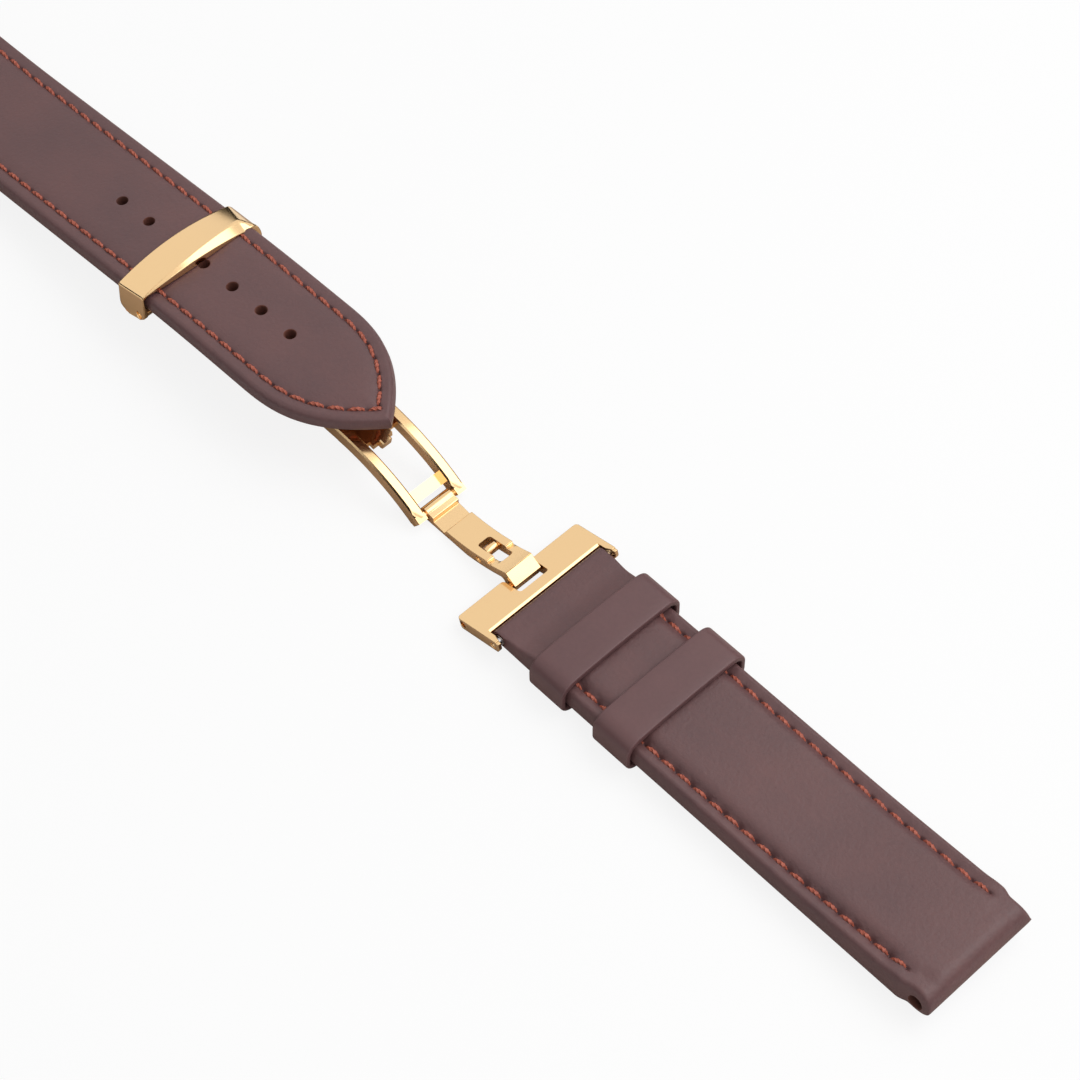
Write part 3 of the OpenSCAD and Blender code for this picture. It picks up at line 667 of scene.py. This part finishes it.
class ShortHalf:
    """The surfaces of the half that the keepers ride on."""

    def __init__(self):
        count = int((ROW_SHORT_END - ROW_SHORT_START) / STITCH_PITCH)
        start = ROW_SHORT_END - count * STITCH_PITCH
        x = np.linspace(start, ROW_SHORT_END + 4, 80)
        y = HALF_W - np.interp(x, [start, ROW_SHORT_END], [1.95, 2.15])
        self.rows = [Row(np.stack([x, side * y], axis=1), count, side) for side in (1, -1)]

    def thin(self, x):
        """Share of the full thickness, which falls off at both rounded ends."""
        return nose(x - BAR_X + FOLD_R, FOLD_R) * nose(SHORT_END_X - x, LUG_T / 2)

    def thin_face(self, x):
        """The same for the face, which is a little fuller where the leather folds round the bar."""
        rest = np.clip(1 - (x - BAR_X + FOLD_R) / FOLD_R, 0, 1)
        return np.power(1 - rest ** FOLD_POWER, 1 / FOLD_POWER) * nose(SHORT_END_X - x, LUG_T / 2)

    def edge_r(self, x):
        return SHORT_EDGE_R + (EDGE_R - SHORT_EDGE_R) * smooth((x - BAR_X - 1) / 4)

    def plain_face(self, x, y):
        """The face before it is stitched."""
        d = np.clip(short_half(x) - np.abs(y), 0, None)
        t = short_top_line(x) - short_bottom_line(x)
        dome = LONG_CROWN * (0.8 * smooth((d - 2.2) / 1.5) + 0.2 * smooth(d / HALF_W))
        dome = dome * smooth((x - BAR_X - 2) / 6)
        dip = 0.4 * bell((x - BAR_X - 3.6) / 1.6)
        rim = 0.3 * self.along_rows(x) * smooth((3.0 - d) / 1.2)
        level = t / 2 + dome - dip - rim - edge_drop(d, self.edge_r(x), 0.55 * t)
        return (short_top_line(x) + short_bottom_line(x)) / 2 + self.thin_face(x) * level

    def along_rows(self, x):
        """1 between the ends of the stitch rows."""
        return smooth((x - BAR_X - 6) / 3) * smooth((SHORT_END_X - 5.0 - x) / 2.5)

    def valley(self, x):
        """Depth of the groove that the rows lie in, which runs out before the lug end."""
        return 0.34 * smooth((SHORT_END_X - 5.2 - x) / 2.5)

    def face(self, x, y):
        return self.plain_face(x, y) + stitch_relief(*rows_near(self.rows, x, y), self.valley(x), 0.85)

    def stitched_face(self, x, y):
        """Where the threads lie: in the valley, but over the holes."""
        return self.plain_face(x, y) - self.valley(x)

    def under(self, x, y):
        d = np.clip(short_half(x) - np.abs(y), 0, None)
        t = short_top_line(x) - short_bottom_line(x)
        recess = smooth((x - BAR_X - 5.2) / 0.3) * smooth((SHORT_END_X - 6.7 - x) / 0.3)
        recess = RECESS * recess * smooth((d - RECESS_EDGE) / RECESS_STEP)
        level = -t / 2 + edge_drop(d, UNDER_R, 0.45 * t) + recess
        return (short_top_line(x) + short_bottom_line(x)) / 2 + self.thin(x) * level

    def row_y(self, x):
        return np.interp(x, self.rows[0].points[:, 0], self.rows[0].points[:, 1])

    def make(self):
        stations = np.concatenate([BAR_X - FOLD_R + nose_stations(FOLD_R, 8),
                                   np.arange(BAR_X + 0.25, SHORT_END_X - 2.3, STEP),
                                   SHORT_END_X - nose_stations(LUG_T / 2, 12)[::-1]])
        return strap_skin("short_leather", stations, short_half, lambda x: 1.0, self.row_y,
                          self.face, self.under, EDGE_R, CALF)

    def make_lining(self):
        x0, x1 = BAR_X + LINING_TO_BAR, SHORT_END_X - LINING_TO_LUG

        def half(x):
            return HALF_W - LINING_INSET + 0 * x

        def face(x, y):
            d = np.clip(half(x) - np.abs(y), 0, None)
            ends = edge_drop(np.minimum(x - x0, x1 - x), LINING_EDGE_R, LINING_EDGE_R)
            relief = stitch_relief(*rows_near(self.rows, x, y), 0.12, 0.5)
            return short_bottom_line(x) + edge_drop(d, LINING_EDGE_R, LINING_EDGE_R) + ends - relief

        def back(x, y):
            return short_bottom_line(x) + LINING_T

        return strap_skin("short_lining_leather", lining_stations(x0, x1), half, lambda x: 1.0, self.row_y,
                          face, back, LINING_EDGE_R, LINING_CALF)


# Keepers

KEEPER_T = 0.95
KEEPER_SIDE_T = 0.7
KEEPER_TOP_R = 2.1
KEEPER_FOOT_R = 2.2
KEEPER_INNER_FOOT_R = 1.0
KEEPER_CROWN = 0.4
KEEPER_EDGE_R = 0.24
LAP_START = 0.6         # from the middle line, where one end of the band lies over the other
LAP_END = 6
LAP_STEP = 0.28


def rounded_loop(w, z0, z1, low_r, top_r, per_corner, per_side):
    """Points round a rounded rectangle in y and z, from its lower right corner, with a crowned top."""
    corners = [(w - low_r, z0 + low_r, low_r, -90), (w - top_r, z1 - top_r, top_r, 0),
               (-w + top_r, z1 - top_r, top_r, 90), (-w + low_r, z0 + low_r, low_r, 180)]
    points = []
    for cy, cz, r, turn in corners:
        for k in range(per_corner + 1):
            a = math.radians(turn + 90 * k / per_corner)
            points.append((cy + r * math.cos(a), cz + r * math.sin(a)))
    loop = []
    n = per_corner + 1
    for c in range(4):
        corner = points[c * n:(c + 1) * n]
        loop += corner
        start, end = np.array(corner[-1]), np.array(points[((c + 1) % 4) * n])
        steps = per_side[c]
        loop += [tuple(start + (end - start) * k / steps) for k in range(1, steps)]
    loop = np.array(loop)
    height = np.clip((loop[:, 1] - z0) / (z1 - z0), 0, 1)
    loop[:, 1] -= KEEPER_CROWN * height * (loop[:, 0] / w) ** 2
    return loop


def make_keeper(name, node):
    """A loop of folded leather with rounded edges, closed by a lap under the strap."""
    low, high = box_mm(node)
    w_in, z0, z1 = high.y - KEEPER_T, low.z, high.z
    sides = [4, 24, 4, 40]
    outer = rounded_loop(w_in + KEEPER_SIDE_T, z0, z1, KEEPER_FOOT_R, KEEPER_TOP_R, 8, sides)
    inner = rounded_loop(w_in, z0 + KEEPER_T, z1 - KEEPER_T, KEEPER_INNER_FOOT_R, KEEPER_TOP_R - KEEPER_T,
                         8, sides)
    y = outer[:, 0]
    lap = np.where((outer[:, 1] < z0 + 0.05) & (y > LAP_START) & (y < LAP_END),
                   LAP_STEP * (1 - smooth((y - LAP_START) / (LAP_END - LAP_START))), 0)
    outer = outer + np.stack([0 * lap, lap], axis=1)
    corner = [KEEPER_EDGE_R * (1 - math.cos(a)) for a in np.radians([0, 22, 45, 68, 90])]
    x0, x1, r = low.x, high.x, KEEPER_EDGE_R
    section = []
    for k in range(5):
        section.append((x0 + corner[k], 1 - corner[4 - k] / KEEPER_T))
    section += [(x0 + (x1 - x0) * f, 1) for f in (0.25, 0.5, 0.75)]
    for k in range(4, -1, -1):
        section.append((x1 - corner[k], 1 - corner[4 - k] / KEEPER_T))
    for k in range(5):
        section.append((x1 - corner[k], corner[4 - k] / KEEPER_T))
    section += [(x0 + (x1 - x0) * f, 0) for f in (0.75, 0.5, 0.25)]
    for k in range(4, -1, -1):
        section.append((x0 + corner[k], corner[4 - k] / KEEPER_T))
    rings = []
    for a, b in list(zip(outer, inner)) + [(outer[0], inner[0])]:
        rings.append([(x, *(b + (a - b) * f)) for x, f in section])
    obj = rolled(name, rings, KEEPER_CALF)
    return smooth_shade(obj, 50)


# Metal

BORE_R = 0.53
MERGE = 0.01            # points of the CAD meshes closer than this are one
SHARP_ANGLE = 34


def flatten_faces(obj):
    """Keeps flat faces flat up to their edges."""
    flat = obj.modifiers.new("flat", "WEIGHTED_NORMAL")
    flat.keep_sharp = True
    return apply_modifiers(obj)


def ease_edges(obj, ease_mm, angle=13):
    """Rounds every edge sharper than angle, as polishing does, and keeps flat faces flat."""
    ease = obj.modifiers.new("ease", "BEVEL")
    ease.width = ease_mm * MM
    ease.segments = 3
    ease.limit_method = "ANGLE"
    ease.angle_limit = math.radians(angle)
    ease.use_clamp_overlap = False
    ease.miter_outer = "MITER_ARC"
    apply_modifiers(obj)
    return flatten_faces(smooth_shade(obj, SHARP_ANGLE))


RAIL_END = 0.5          # how far the rails run on past the hinge pin
RAIL_FALL = 35.4        # and how steeply, in degrees


def square_rail_ends(obj):
    """Cuts the rails straight past the hinge pin, where the CAD shape keeps a round end."""
    low, high = box_mm("frame_pin")
    fall = math.radians(RAIL_FALL)
    pin = Vector(((low.x + high.x) / 2, 0, (low.z + high.z) / 2))
    length, width, height = 3, 14, 5
    deselect_all()
    bpy.ops.mesh.primitive_cube_add(size=1)
    box = bpy.context.object
    box.scale = (length * MM, width * MM, height * MM)
    box.rotation_euler = (0, fall, 0)
    box.location = (pin + Vector((math.cos(fall), 0, -math.sin(fall))) * (RAIL_END + length / 2)) * MM
    bpy.ops.object.transform_apply(location=True, rotation=True, scale=True)
    box.data.materials.append(GOLD)
    cut_away(obj, box)


def polished(name, node, body, slot, material, ease_mm):
    """A copy of a CAD shape with its edges eased by polishing, or as they are with an ease of 0."""
    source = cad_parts[node]
    obj = bpy.data.objects.new(name, source.data.copy())
    bpy.context.collection.objects.link(obj)
    obj.data.name = name
    obj.data.materials.clear()
    obj.data.materials.append(material)
    if node == "clasp_frame":
        square_rail_ends(obj)
    pick(obj)
    if obj.data.has_custom_normals:
        bpy.ops.mesh.customdata_custom_splitnormals_clear()
    bpy.ops.object.mode_set(mode="EDIT")
    bpy.ops.mesh.select_all(action="SELECT")
    bpy.ops.mesh.remove_doubles(threshold=MERGE * MM)
    if ease_mm:
        bpy.ops.mesh.dissolve_degenerate(threshold=MERGE * MM)
        bpy.ops.mesh.select_all(action="SELECT")
        bpy.ops.mesh.dissolve_limited(angle_limit=math.radians(0.45))
    bpy.ops.object.mode_set(mode="OBJECT")
    if ease_mm:
        ease_edges(obj, ease_mm)
    else:
        flatten_faces(smooth_shade(obj, SHARP_ANGLE))
    return finish_piece(obj, body, slot, node)


# The cover, in its own frame: u along the strap, w up from its pin

pin_low, pin_high = box_mm("cover_pin")
COVER_PIN = ((pin_low.x + pin_high.x) / 2, (pin_low.z + pin_high.z) / 2)
COVER_PITCH = math.radians(6.107)
COVER_BACK = -4.1
COVER_FRONT = 1.2
COVER_IN = 9.25
COVER_LEFT = -9.45
COVER_RIGHT = 9.9
COVER_LOW = -1.0
LEFT_LEAN = 0.14        # how far the walls lean outward going down
RIGHT_LEAN = 0.03
SHOULDER_W = 1.3        # where the right wall turns into the shoulder
SHOULDER_Y = 9.62       # what the shoulder's curve is drawn towards
CORNER_R = 0.5          # between the top and the left wall
INNER_CORNER_R = 0.2
ARCH_HALF = 9.7
ARCH_RISE = 1.5
ARCH_EDGE = 3.52
ARCH_U = 1.4            # where the arch has that height
TOP_PITCH = math.tan(math.radians(9))
ROOF_T = 0.33
ROOF_T_MIN = 0.12


def cover_top(u, y):
    """The arched top, which rises towards the front."""
    r = (ARCH_HALF ** 2 + ARCH_RISE ** 2) / (2 * ARCH_RISE)
    arch = ARCH_EDGE + ARCH_RISE - r + np.sqrt(r * r - np.square(np.clip(y, -ARCH_HALF, ARCH_HALF)))
    return arch + (u - ARCH_U) * TOP_PITCH


def crease_y(u):
    """Where the top turns down into its right shoulder."""
    return 7.67 - 0.306 * u


def facet_start(y):
    """Where the facet along the front edge starts; it widens towards the right."""
    return min(FACET_U, COVER_FRONT - 0.0092 * max(y + 5, 0) ** 2)


def front_edge(y):
    """The front edge bows out a little."""
    return COVER_FRONT + 0.6 * max(1 - ((y + 0.5) / 8.8) ** 2, 0)


def cover_inside(u, y):
    """The roof's underside: level over the leather, and lower towards the right."""
    over_leather = 3.44 - 0.0128 * max(y - 1, 0) ** 2
    return min(float(cover_top(u, y)) - ROOF_T, over_leather)


def curve(p0, p1, p2, t):
    """A point on the curve from p0 to p2 that is drawn towards p1."""
    p0, p1, p2 = (np.asarray(p, float) for p in (p0, p1, p2))
    return (1 - t) ** 2 * p0 + 2 * t * (1 - t) * p1 + t * t * p2


def wall_ends(w):
    """Back and front edges of a side wall at height w: it narrows to a slanted, rounded foot."""
    heights = [-1.0, -0.95, -0.8, -0.6, -0.4, 0.0, 1.0, 2.6]
    back = [-2.7, -3.1, -3.6, -3.9, -4.05, -4.1, -4.1, COVER_BACK]
    front = [-2.2, -1.8, -1.0, -0.1, 0.55, 1.15, 1.3, COVER_FRONT]
    return float(np.interp(w, heights, back)), float(np.interp(w, heights, front))


TOP_SHARE = [0, 0.06, 0.2, 0.4, 0.6, 0.8, 0.94, 1]
FACET_SHARE = [0.12, 0.35, 0.6, 0.85, 1]
FACET_FALL = 0.62
FACET_U = 1.08          # where the facet starts at its narrowest


def across_band(start, end):
    """Places along u over the top and its front facet, and how far into the facet each is."""
    top = [(COVER_BACK + k * (start - COVER_BACK), 0) for k in TOP_SHARE]
    return top + [(start + k * (end - start), k * (end - start)) for k in FACET_SHARE]


def cover_wall(side, t):
    """A ring up a side wall, from its foot at t = 0 to the arch or the shoulder at t = 1."""
    outer, inner = [], []
    for u_top, _ in across_band(FACET_U, COVER_FRONT):
        high = float(cover_top(u_top, COVER_LEFT)) - CORNER_R if side < 0 else SHOULDER_W
        high_in = cover_inside(u_top, -COVER_IN) - INNER_CORNER_R if side < 0 else SHOULDER_W
        w = COVER_LOW + t * (high - COVER_LOW)
        back, front = wall_ends(w)
        u = back + (u_top - COVER_BACK) / (COVER_FRONT - COVER_BACK) * (front - back)
        y = COVER_LEFT - LEFT_LEAN * (high - w) if side < 0 else COVER_RIGHT + RIGHT_LEAN * (high - w)
        outer.append((u, y, w))
        inner.append((u, side * COVER_IN, COVER_LOW + t * (high_in - COVER_LOW)))
    return outer + inner[::-1]


def cover_corner(t):
    """A ring round the corner between the left wall and the top."""
    outer, inner = [], []
    for u, into in across_band(FACET_U, COVER_FRONT):
        high = float(cover_top(u, COVER_LEFT)) - FACET_FALL * into
        far = float(cover_top(u, COVER_LEFT + CORNER_R)) - FACET_FALL * into
        outer.append((u, *curve((COVER_LEFT, high - CORNER_R), (COVER_LEFT, high + 0.06),
                                (COVER_LEFT + CORNER_R, far), t)))
        low = cover_inside(u, -COVER_IN)
        inner.append((u, *curve((-COVER_IN, low - INNER_CORNER_R), (-COVER_IN, low),
                                (-COVER_IN + INNER_CORNER_R, low), t)))
    return outer + inner[::-1]


def cover_arch(t):
    """A ring across the top."""
    outer, inner = [], []
    y_left, y_in_left = COVER_LEFT + CORNER_R, -COVER_IN + INNER_CORNER_R
    y_mid = y_left + t * (crease_y(0) - y_left)
    for u, into in across_band(facet_start(y_mid), front_edge(y_mid)):
        end = crease_y(min(u, 0))
        y = y_left + t * (end - y_left)
        w = float(cover_top(u - into, y)) - FACET_FALL * into
        outer.append((u, y, w))
        y_in = y_in_left + t * (end - y_in_left)
        inner.append((u, y_in, min(cover_inside(u, y_in), w - ROOF_T_MIN)))
    return outer + inner[::-1]


def cover_shoulder(t):
    """A ring down the rounded right shoulder, where the facet runs out."""
    outer, inner = [], []
    start = np.interp(t, [0, 0.4, 1], [facet_start(crease_y(0)), 0.1, FACET_U])
    front = front_edge(crease_y(0))
    for u, into in across_band(start, front + t * (COVER_FRONT - front)):
        y0 = crease_y(min(u, 0))
        w0 = float(cover_top(u - into, y0))
        slope = 0.6 - 0.3 * min(into / 0.5, 1)
        y, w = curve((y0, w0), (SHOULDER_Y, w0 - slope * (SHOULDER_Y - y0)), (COVER_RIGHT, SHOULDER_W), t)
        w -= FACET_FALL * into * (1 - t) ** 1.3
        outer.append((u, y, w))
        w_in = min(cover_inside(u, y0), w0 - FACET_FALL * into - ROOF_T_MIN)
        inner.append((u, *curve((y0, w_in), (COVER_IN, w_in - 0.3 * (COVER_IN - y0)),
                                (COVER_IN, SHOULDER_W), t)))
    return outer + inner[::-1]


def make_cover():
    """The cover from rings across it, from the foot of one wall to the foot of the other."""
    up_wall = (0, 0.02, 0.05, 0.1, 0.15, 0.25, 0.4, 0.6, 0.8)
    rings = [cover_wall(-1, t) for t in up_wall]
    rings += [cover_corner(t) for t in np.linspace(0, 1, 8)[:-1]]
    rings += [cover_arch(t) for t in np.linspace(0, 1, 41)[:-1]]
    rings += [cover_shoulder(t) for t in np.linspace(0, 1, 13)]
    rings += [cover_wall(1, t) for t in up_wall[::-1]]
    points = np.array(rings)
    u, w = points[..., 0].copy(), points[..., 2].copy()
    points[..., 0] = COVER_PIN[0] + u * math.cos(COVER_PITCH) - w * math.sin(COVER_PITCH)
    points[..., 2] = COVER_PIN[1] + u * math.sin(COVER_PITCH) + w * math.cos(COVER_PITCH)
    obj = rolled("arched_cover", points, GOLD)
    past = COVER_RIGHT + 1.1
    bore = flared_punch("bore", (COVER_PIN[0], -past, COVER_PIN[1]), (COVER_PIN[0], past, COVER_PIN[1]),
                        BORE_R, 0, 0.5)
    bore.data.materials[0] = GOLD
    cut_away(obj, bore)
    ease_edges(obj, 0.1, 16)
    return finish_piece(obj, "cover", "gold", "cover_bridge")


# Studio

CAMERA_TARGET = (31.44, 5.481, 0.9)
CAMERA_AZIMUTH = -42.59
CAMERA_ELEVATION = 55.48
CAMERA_ROLL = -1.1
CAMERA_DISTANCE = 386.5
SENSOR = 36.0
LENS = 104.51
FLOOR_M = 6
PAPER_WHITE = (0.94, 0.94, 0.94, 1)
PAPER_GLOW = 0.86       # share of the paper's own light on rays that show it
ROOM_LIGHT = 0.3        # what the white room gives to matt surfaces
BLACK_CARD = "#17120f"
# painted shade: a grey that only the metal sees, in place of the shaded floor beside the object
FLOOR_SHADE_GREY = "#c2b3a8"


def make_camera():
    """The photo's camera, solved from the stitch rows, holes and clasp edges seen there."""
    az, el, roll = (math.radians(v) for v in (CAMERA_AZIMUTH, CAMERA_ELEVATION, CAMERA_ROLL))
    back = Vector((math.cos(el) * math.cos(az), math.cos(el) * math.sin(az), math.sin(el)))
    right = Vector((0, 0, 1)).cross(back).normalized()
    up = back.cross(right)
    turned_right = math.cos(roll) * right + math.sin(roll) * up
    turned_up = back.cross(turned_right)
    camera = bpy.data.objects.new("camera", bpy.data.cameras.new("camera"))
    bpy.context.scene.collection.objects.link(camera)
    camera.data.sensor_width = SENSOR
    camera.data.lens = LENS
    camera.data.clip_start = 0.01
    camera.data.clip_end = 10
    place = Matrix((turned_right, turned_up, back)).transposed().to_4x4()
    place.translation = (Vector(CAMERA_TARGET) + back * CAMERA_DISTANCE) * MM
    camera.matrix_world = place
    bpy.context.scene.camera = camera


def area_light(name, place_mm, aim_mm, size_mm, watts):
    light = bpy.data.lights.new(name, "AREA")
    light.shape = "RECTANGLE"
    light.size, light.size_y = (s * MM for s in size_mm)
    light.energy = watts
    obj = bpy.data.objects.new(name, light)
    bpy.context.scene.collection.objects.link(obj)
    obj.location = Vector(place_mm) * MM
    obj.rotation_euler = (Vector(aim_mm) - Vector(place_mm)).to_track_quat("-Z", "Y").to_euler()
    return obj


def seen_rays(tree):
    """1 on rays from the camera, from mirrors and through glass."""
    rays = add_node(tree, "LightPath")
    first = add_node(tree, "Math", {0: rays.outputs["Is Camera Ray"], 1: rays.outputs["Is Glossy Ray"]},
                     operation="MAXIMUM")
    return add_node(tree, "Math", {0: first.outputs[0], 1: rays.outputs["Is Transmission Ray"]},
                    operation="MAXIMUM").outputs[0]


def mirror_card(name, colour, size_mm, place_mm, turn=(0, 0, 0)):
    """A card out of the camera's sight, which the metal shows: black ones draw its dark lines."""
    deselect_all()
    bpy.ops.mesh.primitive_plane_add(size=1, location=[v * MM for v in place_mm],
                                     rotation=[math.radians(v) for v in turn])
    card = bpy.context.object
    card.name = card.data.name = name
    card.scale = (size_mm[0] * MM, size_mm[1] * MM, 1)
    bpy.ops.object.transform_apply(location=True, rotation=True, scale=True)
    for ray in ("camera", "diffuse", "shadow", "transmission", "volume_scatter"):
        setattr(card, "visible_" + ray, False)
    card.data.materials.append(new_material(name, Base_Color=linear(colour), Roughness=0.9)[0])


def make_studio():
    """White paper in a white room, with black cards that draw dark lines in the metal, and a grey card on the
    paper that paints shade into the metal's reflection of the floor.
    """
    bpy.context.scene.view_settings.view_transform = "Standard"
    world = bpy.data.worlds.new("studio")
    bpy.context.scene.world = world
    tree = empty_tree(world)
    backdrop = add_node(tree, "Background", {"Color": (1, 1, 1, 1), "Strength": 1.0})
    light = add_node(tree, "Background", {"Color": (1, 1, 1, 1), "Strength": ROOM_LIGHT})
    mixed = add_node(tree, "MixShader", {"Fac": seen_rays(tree), 1: light.outputs[0], 2: backdrop.outputs[0]})
    add_node(tree, "OutputWorld", {"Surface": mixed.outputs[0]})

    deselect_all()
    bpy.ops.mesh.primitive_plane_add(size=FLOOR_M)
    floor = bpy.context.object
    floor.name = "floor"
    material = bpy.data.materials.new("white_paper")
    tree = empty_tree(material)
    paper = add_node(tree, "BsdfDiffuse", {"Color": PAPER_WHITE})
    glow = add_node(tree, "Emission", {"Color": (1, 1, 1, 1), "Strength": 1.0})
    share = add_node(tree, "Math", {0: seen_rays(tree), 1: PAPER_GLOW}, operation="MULTIPLY")
    mixed = add_node(tree, "MixShader", {"Fac": share.outputs[0], 1: paper.outputs[0], 2: glow.outputs[0]})
    add_node(tree, "OutputMaterial", {"Surface": mixed.outputs[0]})
    floor.data.materials.append(material)

    area_light("key", (210, 310, 510), (30, 0, 0), (520, 400), 1.05)
    wash = area_light("wash", (200, 320, 500), (30, 0, 0), (900, 640), 2.45)
    wash.visible_glossy = False
    area_light("fill", (330, -160, 380), (40, 0, 0), (300, 300), 0.25)
    mirror_card("near_card", BLACK_CARD, (300, 32), (0, -60, 16), (90, 0, 0))
    mirror_card("far_card", BLACK_CARD, (300, 25), (0, 60, 12.5), (90, 0, 0))
    mirror_card("left_card", BLACK_CARD, (300, 34), (-170, 0, 17), (90, 0, 90))
    mirror_card("right_card", BLACK_CARD, (300, 34), (170, 0, 17), (90, 0, 90))
    # A grey card on the paper that only the metal sees: painted shade, which darkens the floor that the
    # metal's side walls reflect
    mirror_card("floor_shade_card", FLOOR_SHADE_GREY, (240, 50), (0, 0, 0.02))


make_camera()
make_studio()

# Leather

ROOT = "frame_and_pierced_half"
LUG_R = 0.95
BAR_R = 0.74
LUG_FLARE = 0.25
BAR_FLARE = 0.15

long_half_shape = LongHalf()
long_leather = long_half_shape.make()
cut_away(long_leather, hole_punch("punch"))
cut_away(long_leather, cross_punch("lug_punch", LONG_END_X + LUG_T / 2, LUG_T / 2, LUG_R, LUG_FLARE))
smooth_shade(long_leather, 50)
finish_piece(long_leather, ROOT, "leather", "long_upper_leather", "long_padding")

long_lining = long_half_shape.make_lining()
cut_away(long_lining, hole_punch("lining_punch"))
smooth_shade(long_lining, 50)
finish_piece(long_lining, ROOT, "lining", "long_lining")

finish_piece(stitch_work("long_face_stitching", long_half_shape.rows,
                         long_half_shape.plain_face, 1, 0.0), ROOT, "leather")
finish_piece(stitch_work("long_lining_stitching", long_half_shape.rows,
                         lambda x, y: long_bottom(x), -1, UNDER_THREAD), ROOT, "lining")

short_half_shape = ShortHalf()
short_leather = short_half_shape.make()
cut_away(short_leather, cross_punch("lug_punch", SHORT_END_X - LUG_T / 2, SHORT_Z + LUG_T / 2,
                                    LUG_R, LUG_FLARE))
cut_away(short_leather, cross_punch("bar_punch", BAR_X, BAR_Z, BAR_R, BAR_FLARE))
smooth_shade(short_leather, 50)
finish_piece(short_leather, "short_half", "leather", "short_upper_leather", "short_padding")

short_lining = short_half_shape.make_lining()
smooth_shade(short_lining, 50)
finish_piece(short_lining, "short_half", "lining", "short_lining")

finish_piece(stitch_work("short_face_stitching", short_half_shape.rows,
                         short_half_shape.stitched_face, 1, 0.0), "short_half", "leather")
finish_piece(stitch_work("short_lining_stitching", short_half_shape.rows,
                         lambda x, y: short_bottom_line(x), -1, UNDER_THREAD), "short_half", "lining")

finish_piece(make_keeper("sewn_keeper", "fixed_keeper"), "short_half", "leather", "fixed_keeper")
finish_piece(make_keeper("sliding_keeper_loop", "free_keeper"), "sliding_keeper", "leather", "free_keeper")

# Metal

make_cover()
for node, body, ease in (
        ("clasp_frame", ROOT, 0), ("frame_pin", ROOT, 0.06), ("cover_pin", ROOT, 0.06),
        ("strap_peg", ROOT, 0), ("fold_blade", "blade", 0.06),
        ("latch_pin", "blade", 0.05), ("end_bracket", "bracket", 0.07), ("bracket_pin", "bracket", 0.06)):
    polished(node + "_plated", node, body, "gold", GOLD, ease)
for node, body in (("spring_bar_tube", "bracket"), ("spring_bar_tip_left", "bar_tip_left"),
                   ("spring_bar_tip_right", "bar_tip_right")):
    polished(node + "_turned", node, body, "steel", STEEL, 0.04)
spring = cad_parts["spring_bar_spring"]
spring.data.materials.clear()
spring.data.materials.append(STEEL)
